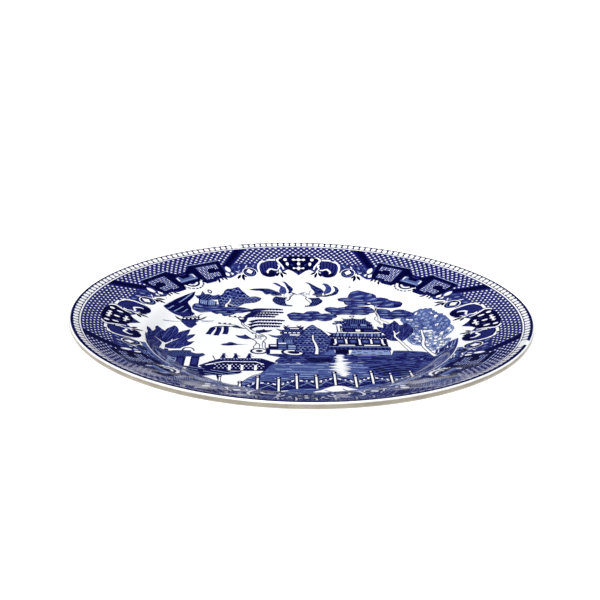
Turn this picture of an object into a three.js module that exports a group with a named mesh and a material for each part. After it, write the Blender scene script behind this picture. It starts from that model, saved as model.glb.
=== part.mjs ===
// A round china dinner plate: the fired body, the three printed decorations that lie on it, and the
// three coats of glaze that seal it.
// Millimetres, +Z up. The origin is the centre of the circle that the foot ring rests on, and the
// top of the decoration is towards +Y.

import * as THREE from "three";

// ---- driving dimensions ----
const rimRadius = 127; // centre of the plate to the outside of the lip
const overallHeight = 26.5; // table to the top of the lip
const wellFloorRadius = 74; // flat part of the well
const wellSideRun = 16; // side of the well, from the flat part out to the shoulder
const shoulderDepth = 12.7; // top of the lip down to the shoulder
const shoulderSlope = 0.27; // rise over run of the rim where it leaves the shoulder
const footHeight = 2.4; // how far the foot ring stands below the recess inside it
const footWidth = 5; // foot ring, across its wall
const footOverhang = 4.5; // outside of the foot ring beyond the flat floor of the well
const wellThickness = 4.4; // finished wall under the well
const lipThickness = 3.6; // finished wall at the lip, which is fully rounded
const glazeThickness = 0.25;
const printThickness = 0.1;
const bareFootHeight = 0.7; // height of the foot ring that the glaze leaves bare
const footRounding = 0.8; // rounding of the foot ring's two bottom edges
const centrePrintInset = 3; // the landscape print ends this far short of the shoulder
const printGap = 1.5; // bare ring between the landscape and the border
const edgeBandWidth = 2.6; // beaded band printed around the border
const edgeBandInset = 0.4; // bare ring between the beaded band and the round of the lip
const turns = 60; // flats around every turned shape
const layerStep = 5; // most run of a layer between two points of its profile

// ---- places that follow from them ----
const lipRadius = lipThickness / 2;
const lipCentre = { r: rimRadius - lipRadius, z: overallHeight - lipRadius };
const wellFloorHeight = footHeight + wellThickness;
const shoulderHeight = overallHeight - shoulderDepth;
const shoulderRadius = wellFloorRadius + wellSideRun; // where the side of the well turns into the rim
const footOuterRadius = wellFloorRadius + footOverhang;
const footInnerRadius = footOuterRadius - footWidth;
const centrePrintRadius = shoulderRadius - centrePrintInset;
const borderInnerRadius = centrePrintRadius + printGap;

// The rim rises from the shoulder as a parabola that touches the round of the lip. Its steepness
// there is found by closing in on the point where the two share a tangent.
const rim = { bend: 0, outerRadius: rimRadius, outerHeight: overallHeight };
for (let pass = 0; pass < 40; pass += 1) {
  const run = rim.outerRadius - shoulderRadius;
  rim.bend = (rim.outerHeight - shoulderHeight - shoulderSlope * run) / (run * run);
  const slope = shoulderSlope + 2 * rim.bend * run;
  const length = Math.hypot(1, slope);
  rim.outerRadius = lipCentre.r - (lipRadius * slope) / length;
  rim.outerHeight = lipCentre.z + lipRadius / length;
}
const bandOuterRadius = rim.outerRadius - edgeBandInset;
const borderOuterRadius = bandOuterRadius - edgeBandWidth;

// Height and slope of the finished face at a radius: flat floor, a smooth cubic up the side of the
// well, and the parabola of the rim.
function face(r) {
  if (r <= wellFloorRadius) return { height: wellFloorHeight, slope: 0 };
  if (r >= shoulderRadius) {
    const out = r - shoulderRadius;
    return {
      height: shoulderHeight + shoulderSlope * out + rim.bend * out * out,
      slope: shoulderSlope + 2 * rim.bend * out,
    };
  }
  const run = shoulderRadius - wellFloorRadius;
  const rise = shoulderHeight - wellFloorHeight;
  const t = (r - wellFloorRadius) / run;
  const climb = 3 * t * t - 2 * t * t * t;
  const lean = t * t * t - t * t;
  return {
    height: wellFloorHeight + rise * climb + shoulderSlope * run * lean,
    slope: (rise / run) * (6 * t - 6 * t * t) + shoulderSlope * (3 * t * t - 2 * t),
  };
}

// A point at a depth under the finished face, measured square to it.
function under(r, depth) {
  const { height, slope } = face(r);
  const length = Math.hypot(1, slope);
  return new THREE.Vector2(r + (depth * slope) / length, height - depth / length);
}

// The wall thins evenly from the well to the lip.
function wall(r) {
  const t = Math.max(0, (r - wellFloorRadius) / (rim.outerRadius - wellFloorRadius));
  return wellThickness + (lipThickness - wellThickness) * t;
}

// Points on the rounded lip from one angle to another, in degrees above the outward direction.
function lipArc(radius, fromDegrees, toDegrees, steps) {
  const points = [];
  for (let i = 0; i <= steps; i += 1) {
    const angle = THREE.MathUtils.degToRad(
      THREE.MathUtils.lerp(fromDegrees, toDegrees, i / steps),
    );
    points.push(
      new THREE.Vector2(
        lipCentre.r + radius * Math.cos(angle),
        lipCentre.z + radius * Math.sin(angle),
      ),
    );
  }
  return points;
}

// ---- the radii at which every layer has a point, so that layers touch face to face ----
function spaced(from, to, steps) {
  return Array.from({ length: steps }, (_, i) => from + ((to - from) * (i + 1)) / steps);
}
const layerEdges = [
  wellFloorRadius,
  centrePrintRadius,
  borderInnerRadius,
  borderOuterRadius,
  bandOuterRadius,
];
const layerRadii = [wellFloorRadius];
for (let i = 1; i < layerEdges.length; i += 1) {
  const run = layerEdges[i] - layerEdges[i - 1];
  layerRadii.push(...spaced(layerEdges[i - 1], layerEdges[i], Math.ceil(run / layerStep)));
}
const between = (from, to) => layerRadii.filter((r) => r > from - 1e-6 && r < to + 1e-6);
const centreRadii = between(wellFloorRadius, centrePrintRadius);
const borderRadii = between(borderInnerRadius, borderOuterRadius);
const bandRadii = between(borderOuterRadius, bandOuterRadius);
const lipStart = THREE.MathUtils.radToDeg(
  Math.atan2(rim.outerHeight - lipCentre.z, rim.outerRadius - lipCentre.r),
);
const lipEnd = lipStart - 180;
const lipSplit = 0; // the two coats of glaze meet on the outermost line of the lip
const lipSteps = 4; // flats from the tangent point of the face to the split, and on to the back

const printTop = glazeThickness;
const bodyTop = glazeThickness + printThickness;

// ---- the back, from the lip in to the foot ring ----
// A point of the finished back is straight through the wall from its point of the face.
function back(r, inset) {
  return under(r, wall(r) - inset);
}

// The face radius whose point of the back lies at a given radius.
function faceRadiusOver(backRadius, inset) {
  let low = 0;
  let high = rim.outerRadius;
  for (let pass = 0; pass < 50; pass += 1) {
    const middle = (low + high) / 2;
    if (back(middle, inset).x < backRadius) low = middle;
    else high = middle;
  }
  return (low + high) / 2;
}
const footJoin = faceRadiusOver(footOuterRadius + glazeThickness, 0);
const backRadii = spaced(footJoin, rim.outerRadius, 6).slice(0, -1).reverse();

// Rounded corner of the foot ring, from straight down its wall to flat along its bottom.
function footCorner(wallRadius, inwards) {
  const points = [];
  const steps = 3;
  const centreRadius = wallRadius + inwards * footRounding;
  for (let i = 0; i <= steps; i += 1) {
    const angle = (Math.PI / 2) * (i / steps);
    points.push(
      new THREE.Vector2(
        centreRadius - inwards * footRounding * Math.cos(angle),
        footRounding - footRounding * Math.sin(angle),
      ),
    );
  }
  return points;
}

// Outer wall of the foot ring, down to where the glaze stops. The inset is the depth under the
// finished surface.
const footOutsideTop = back(footJoin, 0).y;
function footOutside(inset) {
  return [
    new THREE.Vector2(footOuterRadius - inset, footOutsideTop + inset),
    new THREE.Vector2(footOuterRadius - inset, footRounding + bareFootHeight),
  ];
}

// Inner wall of the foot ring from where the glaze stops, and the recess in to the axis.
function footRecess(inset) {
  return [
    new THREE.Vector2(footInnerRadius + inset, footRounding + bareFootHeight),
    new THREE.Vector2(footInnerRadius + inset, footHeight + inset),
    new THREE.Vector2(0, footHeight + inset),
  ];
}

// ---- turned solids ----
// A profile is listed so that the solid lies on its left as it is walked with radius to the right
// and height up. A ring's profile is closed by repeating its first point.
function turn(name, profile, material) {
  const geometry = new THREE.LatheGeometry(profile, turns);
  geometry.rotateX(Math.PI / 2);
  const mesh = new THREE.Mesh(geometry, material);
  mesh.name = name;
  return mesh;
}

function ring(points) {
  return [...points, points[0].clone()];
}

const axisPoint = (height) => new THREE.Vector2(0, height);
const layer = (radii, depth) => radii.map((r) => under(r, depth));

// ---- materials ----
const bisque = new THREE.MeshStandardMaterial({ color: 0xe9e4d8, roughness: 0.75, metalness: 0 });
const clearGlaze = new THREE.MeshStandardMaterial({ color: 0xf4f6f9, roughness: 0.12, metalness: 0 });
const cobalt = new THREE.MeshStandardMaterial({ color: 0x262c78, roughness: 0.4, metalness: 0 });

// The fired body: rim, well and foot ring are one piece.
function makeBody() {
  const profile = [
    axisPoint(footHeight + glazeThickness),
    ...footRecess(glazeThickness).slice(0, 2).reverse(),
    ...ringFoot(),
    ...footOutside(glazeThickness).reverse(),
    ...backRadii
      .slice()
      .reverse()
      .map((r) => back(r, glazeThickness)),
    ...lipArc(lipRadius - glazeThickness, lipEnd, lipSplit, lipSteps),
    ...lipArc(lipRadius - bodyTop, lipSplit, lipStart, lipSteps),
    ...layer(layerRadii.slice().reverse(), bodyTop),
    axisPoint(wellFloorHeight - bodyTop),
  ];
  return turn("plate_body", profile, bisque);
}

// The bare bottom of the foot ring, where the body stands out to the finished surface.
function ringFoot() {
  return [
    new THREE.Vector2(footInnerRadius, footRounding + bareFootHeight),
    ...footCorner(footInnerRadius, 1),
    ...footCorner(footOuterRadius, -1).reverse(),
    new THREE.Vector2(footOuterRadius, footRounding + bareFootHeight),
  ];
}

// A print is a thin layer between the body and the glaze, and follows the face.
function makeDiscPrint(name, radii) {
  const profile = [
    axisPoint(wellFloorHeight - bodyTop),
    ...layer(radii, bodyTop),
    ...layer(radii.slice().reverse(), printTop),
    axisPoint(wellFloorHeight - printTop),
  ];
  return turn(name, profile, cobalt);
}

function makeRingPrint(name, radii) {
  const outline = [...layer(radii, bodyTop), ...layer(radii.slice().reverse(), printTop)];
  return turn(name, ring(outline), cobalt);
}

// The coat on the face fills down to the body wherever nothing is printed.
function makeFrontGlaze() {
  const profile = [
    axisPoint(wellFloorHeight - printTop),
    ...layer(centreRadii, printTop),
    under(centrePrintRadius, bodyTop),
    under(borderInnerRadius, bodyTop),
    ...layer(between(borderInnerRadius, bandOuterRadius), printTop),
    under(bandOuterRadius, bodyTop),
    ...lipArc(lipRadius - bodyTop, lipStart, lipSplit, lipSteps),
    ...lipArc(lipRadius, lipSplit, lipStart, lipSteps),
    ...layer(layerRadii.slice().reverse(), 0),
    axisPoint(wellFloorHeight),
  ];
  return turn("front_glaze", profile, clearGlaze);
}

// The coat on the back runs from the outermost line of the lip to the outside of the foot ring.
function makeBackGlaze() {
  const outline = [
    ...lipArc(lipRadius, lipEnd, lipSplit, lipSteps),
    ...lipArc(lipRadius - glazeThickness, lipSplit, lipEnd, lipSteps),
    ...backRadii.map((r) => back(r, glazeThickness)),
    ...footOutside(glazeThickness),
    ...footOutside(0).reverse(),
    ...backRadii
      .slice()
      .reverse()
      .map((r) => back(r, 0)),
  ];
  return turn("back_glaze", ring(outline), clearGlaze);
}

// The coat inside the foot ring.
function makeRecessGlaze() {
  const profile = [...footRecess(0).reverse(), ...footRecess(glazeThickness)];
  return turn("foot_recess_glaze", profile, clearGlaze);
}

const plate = new THREE.Group();
plate.add(
  makeBody(),
  makeDiscPrint("centre_print", centreRadii),
  makeRingPrint("border_print", borderRadii),
  makeRingPrint("edge_band_print", bandRadii),
  makeFrontGlaze(),
  makeBackGlaze(),
  makeRecessGlaze(),
);

export default plate;
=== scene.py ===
"""A china dinner plate with a blue printed landscape: the fired body, its glazes and the print."""

import math
import random

import bpy
import numpy as np
from bpy.props import FloatProperty, FloatVectorProperty, IntProperty, PointerProperty
from mathutils import Matrix, Vector
from mathutils.geometry import delaunay_2d_cdt


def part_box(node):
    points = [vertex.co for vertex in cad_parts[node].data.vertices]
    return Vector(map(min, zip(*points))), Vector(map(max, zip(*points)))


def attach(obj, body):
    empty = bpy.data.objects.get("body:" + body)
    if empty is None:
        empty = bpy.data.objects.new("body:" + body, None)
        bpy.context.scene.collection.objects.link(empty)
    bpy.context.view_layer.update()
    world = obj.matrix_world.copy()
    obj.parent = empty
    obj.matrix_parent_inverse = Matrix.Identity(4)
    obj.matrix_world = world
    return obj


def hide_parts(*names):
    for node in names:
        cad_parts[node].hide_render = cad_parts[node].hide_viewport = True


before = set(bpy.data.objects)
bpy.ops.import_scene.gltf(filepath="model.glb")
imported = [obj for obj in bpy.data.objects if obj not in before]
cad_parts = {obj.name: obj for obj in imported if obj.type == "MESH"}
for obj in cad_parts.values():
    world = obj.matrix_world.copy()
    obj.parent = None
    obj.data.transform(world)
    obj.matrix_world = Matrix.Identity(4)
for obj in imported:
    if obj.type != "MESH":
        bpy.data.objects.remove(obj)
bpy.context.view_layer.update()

bl_info = {
    "name": "China Dinner Plate",
    "version": (1, 0, 0),
    "blender": (4, 5, 0),
    "location": "View3D > Sidebar > China",
    "description": "Builds a glazed dinner plate with a blue printed landscape and border",
    "category": "Add Mesh",
}

MM = 0.001  # the shapes are drawn in millimetres and built in metres

# ---- the turned shape, in millimetres: its radius is read from the frame ----
RIM_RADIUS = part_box("front_glaze")[1].x / MM
LIP_TOP = 26.46  # just under the top of the frame, so that the print on the lip stays inside it
LIP_RADIUS = 1.8
FLOOR_HEIGHT = 6.8
FLOOR_RADIUS = 74.0
SHOULDER_RADIUS = 90.0
SHOULDER_HEIGHT = 13.8
SHOULDER_SLOPE = 0.27
WELL_WALL = 4.4
LIP_WALL = 2 * LIP_RADIUS
GLAZE = 0.25
FOOT_OVERHANG = 4.5
FOOT_WIDTH = 5.0
FOOT_OUTER = FLOOR_RADIUS + FOOT_OVERHANG
FOOT_INNER = FOOT_OUTER - FOOT_WIDTH
FOOT_HEIGHT = 2.4
FOOT_ROUNDING = 0.8
BARE_FOOT = 1.5  # height of the foot that no glaze covers
LIP_R = RIM_RADIUS - LIP_RADIUS
LIP_Z = LIP_TOP - LIP_RADIUS
PRINT_LIFT = 0.08  # the print stands this far above the white face
PRINT_SINK = 0.04  # and starts this far under it
LIP_LIFT = 0.03  # it lies closer on the lip
LANDSCAPE_LAP = 0.3  # the landscape runs this far past its ring in the frame
LANDSCAPE_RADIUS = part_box("centre_print")[1].x / MM + LANDSCAPE_LAP
BAND_OUTER = 125.9  # outer line of the beaded band
BAND_INNER = 120.7  # and where the band meets the border
BEADS = 192
BEAD_PITCH = 360 / BEADS
BAND_BARE = 0.75  # white line inside the beads
BAND_LINE = 1.3  # and the dark line that they start from
BAND_POINTS = 480  # points round each circle of the band
QUARTER = 90  # degrees

# ---- how finely the print is cut, in millimetres, so that it follows the curved face ----
EDGE_STEP, LIP_EDGE_STEP = 1.8, 0.5
ROW_STEP, LIP_ROW_STEP = 1.5, 0.4
ROW_TURN = 2.5  # degrees


def rim_shape():
    """The parabola of the rim: its bend, and the point where it touches the round of the lip."""
    radius, height = RIM_RADIUS, LIP_TOP
    for _ in range(40):
        run = radius - SHOULDER_RADIUS
        bend = (height - SHOULDER_HEIGHT - SHOULDER_SLOPE * run) / run**2
        slope = SHOULDER_SLOPE + 2 * bend * run
        length = math.hypot(1, slope)
        radius = LIP_R - LIP_RADIUS * slope / length
        height = LIP_Z + LIP_RADIUS / length
    return bend, radius, height


RIM_BEND, RIM_END, RIM_END_HEIGHT = rim_shape()


def face(r):
    """Height and slope of the finished face at each radius."""
    r = np.asarray(r, float)
    t = np.clip((r - FLOOR_RADIUS) / (SHOULDER_RADIUS - FLOOR_RADIUS), 0, 1)
    run = SHOULDER_RADIUS - FLOOR_RADIUS
    rise = SHOULDER_HEIGHT - FLOOR_HEIGHT
    side = FLOOR_HEIGHT + rise * (3 * t**2 - 2 * t**3) + SHOULDER_SLOPE * run * (t**3 - t**2)
    side_slope = rise / run * (6 * t - 6 * t**2) + SHOULDER_SLOPE * (3 * t**2 - 2 * t)
    out = r - SHOULDER_RADIUS
    rim = SHOULDER_HEIGHT + SHOULDER_SLOPE * out + RIM_BEND * out**2
    rim_slope = SHOULDER_SLOPE + 2 * RIM_BEND * out
    over = np.clip(r - LIP_R, -LIP_RADIUS * 0.98, LIP_RADIUS * 0.98)
    drop = np.sqrt(LIP_RADIUS**2 - over**2)
    lip, lip_slope = LIP_Z + drop, -over / drop
    height = np.where(r < SHOULDER_RADIUS, side, np.where(r < RIM_END, rim, lip))
    slope = np.where(r < SHOULDER_RADIUS, side_slope, np.where(r < RIM_END, rim_slope, lip_slope))
    return height, slope


def under(r, depth):
    """The point at a depth under the finished face, measured square to it."""
    height, slope = face(r)
    length = np.hypot(1, slope)
    return float(r + depth * slope / length), float(height - depth / length)


def wall(r):
    """Finished wall thickness, which thins evenly from the well to the lip."""
    t = max(0.0, (r - FLOOR_RADIUS) / (RIM_END - FLOOR_RADIUS))
    return WELL_WALL + (LIP_WALL - WELL_WALL) * t


# ---- outlines, in plan millimetres ----
def path(*numbers):
    """Points from x, y, x, y and so on."""
    return [(float(x), float(y)) for x, y in zip(numbers[::2], numbers[1::2])]


def smooth(points, closed=True, steps=4, corner=62):
    """A curve through the points that keeps a corner wherever they turn sharply."""
    p = np.array(points, float)
    n = len(p)
    before, after = np.roll(p, 1, 0), np.roll(p, -1, 0)
    a, b = p - before, after - p
    turn = np.degrees(np.abs(np.arctan2(a[:, 0] * b[:, 1] - a[:, 1] * b[:, 0], (a * b).sum(1))))
    tangent = (after - before) / 2
    tangent[turn > corner] = 0
    if not closed:
        tangent[0], tangent[-1] = p[1] - p[0], p[-1] - p[-2]
    made = []
    for i in range(n if closed else n - 1):
        j = (i + 1) % n
        reach = np.linalg.norm(p[j] - p[i])
        out, into = (
            v * min(1.0, reach / max(np.linalg.norm(v), 1e-9)) for v in (tangent[i], tangent[j])
        )
        for k in range(steps):
            t = k / steps
            made.append(
                p[i] * (2 * t**3 - 3 * t**2 + 1)
                + out * (t**3 - 2 * t**2 + t)
                + p[j] * (3 * t**2 - 2 * t**3)
                + into * (t**3 - t**2)
            )
    if not closed:
        made.append(p[-1])
    return [tuple(q) for q in made]


def around(x, y, rx, ry, degrees):
    """The point of an upright ellipse at an angle."""
    angle = math.radians(degrees)
    return x + rx * math.cos(angle), y + ry * math.sin(angle)


def oval(x, y, rx, ry=None, tilt=0.0, n=18):
    """An ellipse, turned by tilt degrees."""
    ry = rx if ry is None else ry
    c, s = math.cos(math.radians(tilt)), math.sin(math.radians(tilt))
    ring = [(rx * math.cos(2 * math.pi * i / n), ry * math.sin(2 * math.pi * i / n)) for i in range(n)]
    return [(x + c * u - s * v, y + s * u + c * v) for u, v in ring]


def box(x0, y0, x1, y1):
    """An upright rectangle."""
    return [(x0, y0), (x1, y0), (x1, y1), (x0, y1)]


def leaf(x0, y0, x1, y1, width):
    """A pointed leaf from one point to another, as wide as width."""
    dx, dy = x1 - x0, y1 - y0
    length = math.hypot(dx, dy)
    nx, ny = -dy / length, dx / length
    sides = []
    for side in (1, -1):
        row = []
        for i in range(1, 6):
            t = i / 6
            out = side * width / 2 * math.sin(math.pi * t) ** 0.8
            row.append((x0 + dx * t + nx * out, y0 + dy * t + ny * out))
        sides.append(row)
    return [(x0, y0), *sides[0], (x1, y1), *reversed(sides[1])]


def disc(radius, n=360):
    """A circle round the plate's axis."""
    return oval(0, 0, radius, n=n)


def goes_round(outline, points):
    """Which of the points an outline goes round."""
    p, q = outline, np.roll(outline, -1, 0)
    x, y = points[:, 0, None], points[:, 1, None]
    side = (q[:, 0] - p[:, 0]) * (y - p[:, 1]) - (x - p[:, 0]) * (q[:, 1] - p[:, 1])
    up = (p[:, 1] <= y) & (q[:, 1] > y) & (side > 0)
    down = (p[:, 1] > y) & (q[:, 1] <= y) & (side < 0)
    return up.sum(1) != down.sum(1)


class Sheet:
    """A print: shapes laid on one another, where the last one laid on a spot is what shows."""

    def __init__(self, limit):
        self.outlines, self.inks, self.motifs, self.within = [], [], [], []
        self.motif = None
        self.place = None
        self.lay(limit, None)

    def lay(self, outline, ink, within=None):
        """Lays one closed outline in an ink, or bare where ink is None, and returns its number."""
        points = [self.place(*p) for p in outline] if self.place else list(outline)
        area = sum(
            a[0] * b[1] - b[0] * a[1] for a, b in zip(points, points[1:] + points[:1])
        )
        if area < 0:
            points.reverse()
        self.outlines.append(points)
        self.inks.append(ink)
        self.motifs.append(self.motif)
        self.within.append(within)
        return len(self.outlines) - 1

    def line(self, points, width, ink, end=None, within=None, curved=True):
        """A stroke along points, which goes from width to end."""
        end = width if end is None else end
        if curved and len(points) > 2:
            points = smooth(points, closed=False, corner=100)
        p = np.array(points, float)
        along = np.gradient(p, axis=0)
        along /= np.maximum(np.linalg.norm(along, axis=1), 1e-9)[:, None]
        half = np.linspace(width, end, len(p))[:, None] / 2
        across = np.stack([-along[:, 1], along[:, 0]], 1) * half
        left, right = p + across, p - across
        for i in range(len(p) - 1):
            self.lay([tuple(right[i]), tuple(right[i + 1]), tuple(left[i + 1]), tuple(left[i])], ink, within)

    def hatch(self, within, angle, pitch, width, ink, seed=0, breaks=0.0, wave=0.0):
        """Broken strokes at an angle across the outline whose number is within, and only there."""
        rng = random.Random(seed)
        p = np.array(self.outlines[within])
        c, s = math.cos(math.radians(angle)), math.sin(math.radians(angle))
        u, v = p @ (c, s), p @ (-s, c)
        place, self.place = self.place, None
        y = v.min() + pitch * 0.6
        while y < v.max():
            x = u.min() - rng.random() * pitch
            while x < u.max():
                reach = (u.max() - u.min() + pitch) if breaks == 0 else pitch * (2 + 4 * rng.random())
                stops = np.linspace(x, x + reach, 2 + int(reach / 2.5) if wave else 2)
                rise = y + wave * np.sin(stops * 1.3 + rng.random() * 6)
                run = [(c * a - s * b, s * a + c * b) for a, b in zip(stops, rise)]
                self.line(run, width, ink, within=within, curved=False)
                x += reach + (breaks * pitch * (0.5 + rng.random()) if breaks else pitch)
            y += pitch * (0.85 + 0.3 * rng.random())
        self.place = place

    def resolve(self):
        """Cuts the sheet into triangles, each with the motif and ink that show there."""
        points, edges = [], []
        for outline in self.outlines:
            first = len(points)
            for a, b in zip(outline, outline[1:] + outline[:1]):
                reach = max(math.hypot(*a), math.hypot(*b))
                steps = 1
                if reach > FLOOR_RADIUS - 1:
                    step = EDGE_STEP if reach < RIM_END - 0.5 else LIP_EDGE_STEP
                    steps = max(1, math.ceil(math.dist(a, b) / step))
                points += [
                    (a[0] + (b[0] - a[0]) * k / steps, a[1] + (b[1] - a[1]) * k / steps)
                    for k in range(steps)
                ]
            count = len(points) - first
            edges += [(first + k, first + (k + 1) % count) for k in range(count)]
        limit = max(math.hypot(*q) for q in self.outlines[0]) - 0.3
        radius = FLOOR_RADIUS - 0.5
        row = 0
        while radius < limit:
            first_turn = ROW_TURN / 2 * (row % 2)
            points += [around(0, 0, radius, radius, a) for a in np.arange(first_turn, 360, ROW_TURN)]
            radius += ROW_STEP if radius < RIM_END - 1 else LIP_ROW_STEP
            row += 1
        flat = [Vector(q) for q in points]
        verts, _, triangles, _, _, _ = delaunay_2d_cdt(flat, edges, [], 0, 0.002, False)
        plan, triangles = np.array([(v.x, v.y) for v in verts]), np.array(triangles)
        middles = plan[triangles].mean(1)
        order = np.argsort(middles[:, 0])
        across = middles[order, 0]
        top = np.full(len(triangles), -1)
        inside = {i: np.zeros(len(triangles), bool) for i in set(self.within) if i is not None}
        for i, outline in enumerate(self.outlines):
            p = np.array(outline)
            low, high = p.min(0), p.max(0)
            near = order[np.searchsorted(across, low[0]) : np.searchsorted(across, high[0])]
            near = near[(middles[near, 1] >= low[1]) & (middles[near, 1] <= high[1])]
            near = near[goes_round(p, middles[near])]
            if i in inside:
                inside[i][near] = True
            if self.within[i] is not None:
                near = near[inside[self.within[i]][near]]
            top[near] = i
        limit = max(math.hypot(*q) for q in self.outlines[0])
        top[np.hypot(*middles.T) > limit] = -1
        kept = {}
        for triangle, i in zip(triangles.tolist(), top):
            if i > 0 and self.inks[i]:
                kept.setdefault(self.motifs[i], []).append((triangle, self.inks[i]))
        return plan, kept


def print_piece(name, plan, triangles, slots):
    """A closed film of ink that follows the face, from the triangles of one motif."""
    tris = np.array([t for t, _ in triangles])
    tones = [slots.index(ink) for _, ink in triangles]
    used, tris = np.unique(tris, return_inverse=True)
    tris = tris.reshape(-1, 3)
    xy = plan[used]
    a, b, c = xy[tris[:, 0]], xy[tris[:, 1]], xy[tris[:, 2]]
    area = (b - a)[:, 0] * (c - a)[:, 1] - (b - a)[:, 1] * (c - a)[:, 0]
    tris[area < 0] = tris[area < 0][:, ::-1]
    n = len(xy)
    height, slope = face(np.hypot(xy[:, 0], xy[:, 1]))
    length = np.hypot(1, slope)
    outward = xy / np.maximum(np.hypot(xy[:, 0], xy[:, 1]), 1e-9)[:, None]
    normal = np.column_stack([-outward * (slope / length)[:, None], 1 / length])
    base = np.column_stack([xy, height])
    lift = np.interp(np.hypot(xy[:, 0], xy[:, 1]), (RIM_END - 2, RIM_END), (PRINT_LIFT, LIP_LIFT))[:, None]
    co = np.vstack([base + normal * lift, base - normal * PRINT_SINK]) * MM
    edges = {}
    for t, tone in zip(tris.tolist(), tones):
        for i, j in ((t[0], t[1]), (t[1], t[2]), (t[2], t[0])):
            if (j, i) in edges:
                del edges[(j, i)]
            else:
                edges[(i, j)] = tone
    sides = [(i, i + n, j + n, j) for i, j in edges]
    mesh = bpy.data.meshes.new(name)
    faces = tris.tolist() + (tris[:, ::-1] + n).tolist() + sides
    mesh.from_pydata(co.tolist(), [], faces)
    mesh.polygons.foreach_set("material_index", tones + tones + list(edges.values()))
    mesh.polygons.foreach_set("use_smooth", [True] * len(faces))
    mesh.set_sharp_from_angle(angle=math.radians(35))
    mesh.update()
    return link(name, mesh)


def link(name, mesh):
    """Puts a mesh in the scene as a piece of the plate."""
    piece = bpy.data.objects.new(name, mesh)
    bpy.context.scene.collection.objects.link(piece)
    return piece


def turned(name, profile, flats, material):
    """A closed solid of revolution from a profile of (radius, height) in millimetres."""
    ring = [q for q in profile if q[0] > 1e-6]
    poles = [q for q in profile if q[0] <= 1e-6]
    angles = 2 * np.pi * np.arange(flats) / flats
    p = np.array(ring)
    x = p[:, 0, None] * np.cos(angles)
    y = p[:, 0, None] * np.sin(angles)
    z = np.repeat(p[:, 1, None], flats, 1)
    co = np.stack([x, y, z], -1).reshape(-1, 3)
    faces = []
    rows = len(ring)
    spans = range(rows - 1) if poles else range(rows)
    for i in spans:
        j = (i + 1) % rows
        for k in range(flats):
            m = (k + 1) % flats
            faces.append((i * flats + k, i * flats + m, j * flats + m, j * flats + k))
    if poles:
        co = np.vstack([co, [(0, 0, poles[0][1]), (0, 0, poles[-1][1])]])
        low, high = len(co) - 2, len(co) - 1
        last = (rows - 1) * flats
        for k in range(flats):
            m = (k + 1) % flats
            faces.append((low, m, k))
            faces.append((last + k, last + m, high))
    mesh = bpy.data.meshes.new(name)
    mesh.from_pydata((co * MM).tolist(), [], faces)
    mesh.polygons.foreach_set("use_smooth", [True] * len(faces))
    mesh.set_sharp_from_angle(angle=math.radians(40))
    mesh.materials.append(material)
    mesh.update()
    return link(name, mesh)


# ---- motifs of the landscape, with x to the right and y away from the diner, in millimetres ----
def mass(s, points, ink, marks=(), edge=None, width=0.6, curved=True):
    """A closed shape in an ink, with hatching inside it and a drawn edge."""
    outline = smooth(points) if curved else points
    shape = s.lay(outline, ink)
    for mark in marks:
        s.hatch(shape, **mark)
    if edge:
        s.line(outline + outline[:1], width, edge, within=shape, curved=False)
    return shape


def strokes(angle, pitch, ink, share=0.45, breaks=0.8, seed=1, wave=0.15):
    """Hatching that is the same all over a shape: its angle, pitch, ink and thickness."""
    return dict(angle=angle, pitch=pitch, width=pitch * share, ink=ink, seed=seed, breaks=breaks, wave=wave)


def stem(s, points, dark, bare):
    """A dark stroke with a white one down it, each going from one width to another."""
    s.line(points, dark[0], "dark", dark[1])
    s.line(points, bare[0], None, bare[1])


def dots(s, places, radius, ink, n=8):
    """Round dots."""
    for x, y in places:
        s.lay(oval(x, y, radius, n=n), ink)


def edge_lobes(s, outline, radius, ink, edge, seed):
    """Leaf lobes round an outline, which give a clump its uneven edge."""
    rng = random.Random(seed)
    run = np.array(outline + outline[:1])
    far = np.concatenate([[0], np.cumsum(np.linalg.norm(np.diff(run, axis=0), axis=1))])
    at = 0.0
    while at < far[-1]:
        x, y = np.interp(at, far, run[:, 0]), np.interp(at, far, run[:, 1])
        size = radius * (0.75 + 0.5 * rng.random())
        if edge:
            s.lay(oval(x, y, size + 0.3, n=10), edge)
        s.lay(oval(x, y, size, n=10), ink)
        at += size * 1.5


def layered(s, outline, seed, rows=4.6, lobe=(5.4, 2.6), inks=("mid", "mid", "mid")):
    """A clump of flat overlapping layers of leaves, each with a dark underside."""
    rng = random.Random(seed)
    outline = smooth(outline)
    edge_lobes(s, outline, 0.6, inks[0], "dark", seed)
    shape = s.lay(outline, inks[0])
    p = np.array(outline)
    y = p[:, 1].max() - rows * 0.3
    while y > p[:, 1].min():
        x = p[:, 0].min() + rng.random() * lobe[0]
        while x < p[:, 0].max() + lobe[0]:
            wide, high = lobe[0] * (0.8 + 0.4 * rng.random()), lobe[1] * (0.85 + 0.3 * rng.random())
            drop = rng.uniform(-0.7, 0.7)
            s.lay(oval(x, y + drop - 1.2, wide + 0.5, high + 0.9, n=16), "dark", shape)
            s.lay(oval(x, y + drop + 0.25, wide, high, n=16), rng.choice(inks), shape)
            s.lay(oval(x + 0.6, y + drop + 0.5, wide * 0.72, high * 0.4, n=12), "wash", shape)
            s.lay(oval(x + 0.9, y + drop + 0.9, wide * 0.45, high * 0.16, n=10), "pale", shape)
            x += wide * 1.5
        y -= rows
    return shape


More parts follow.
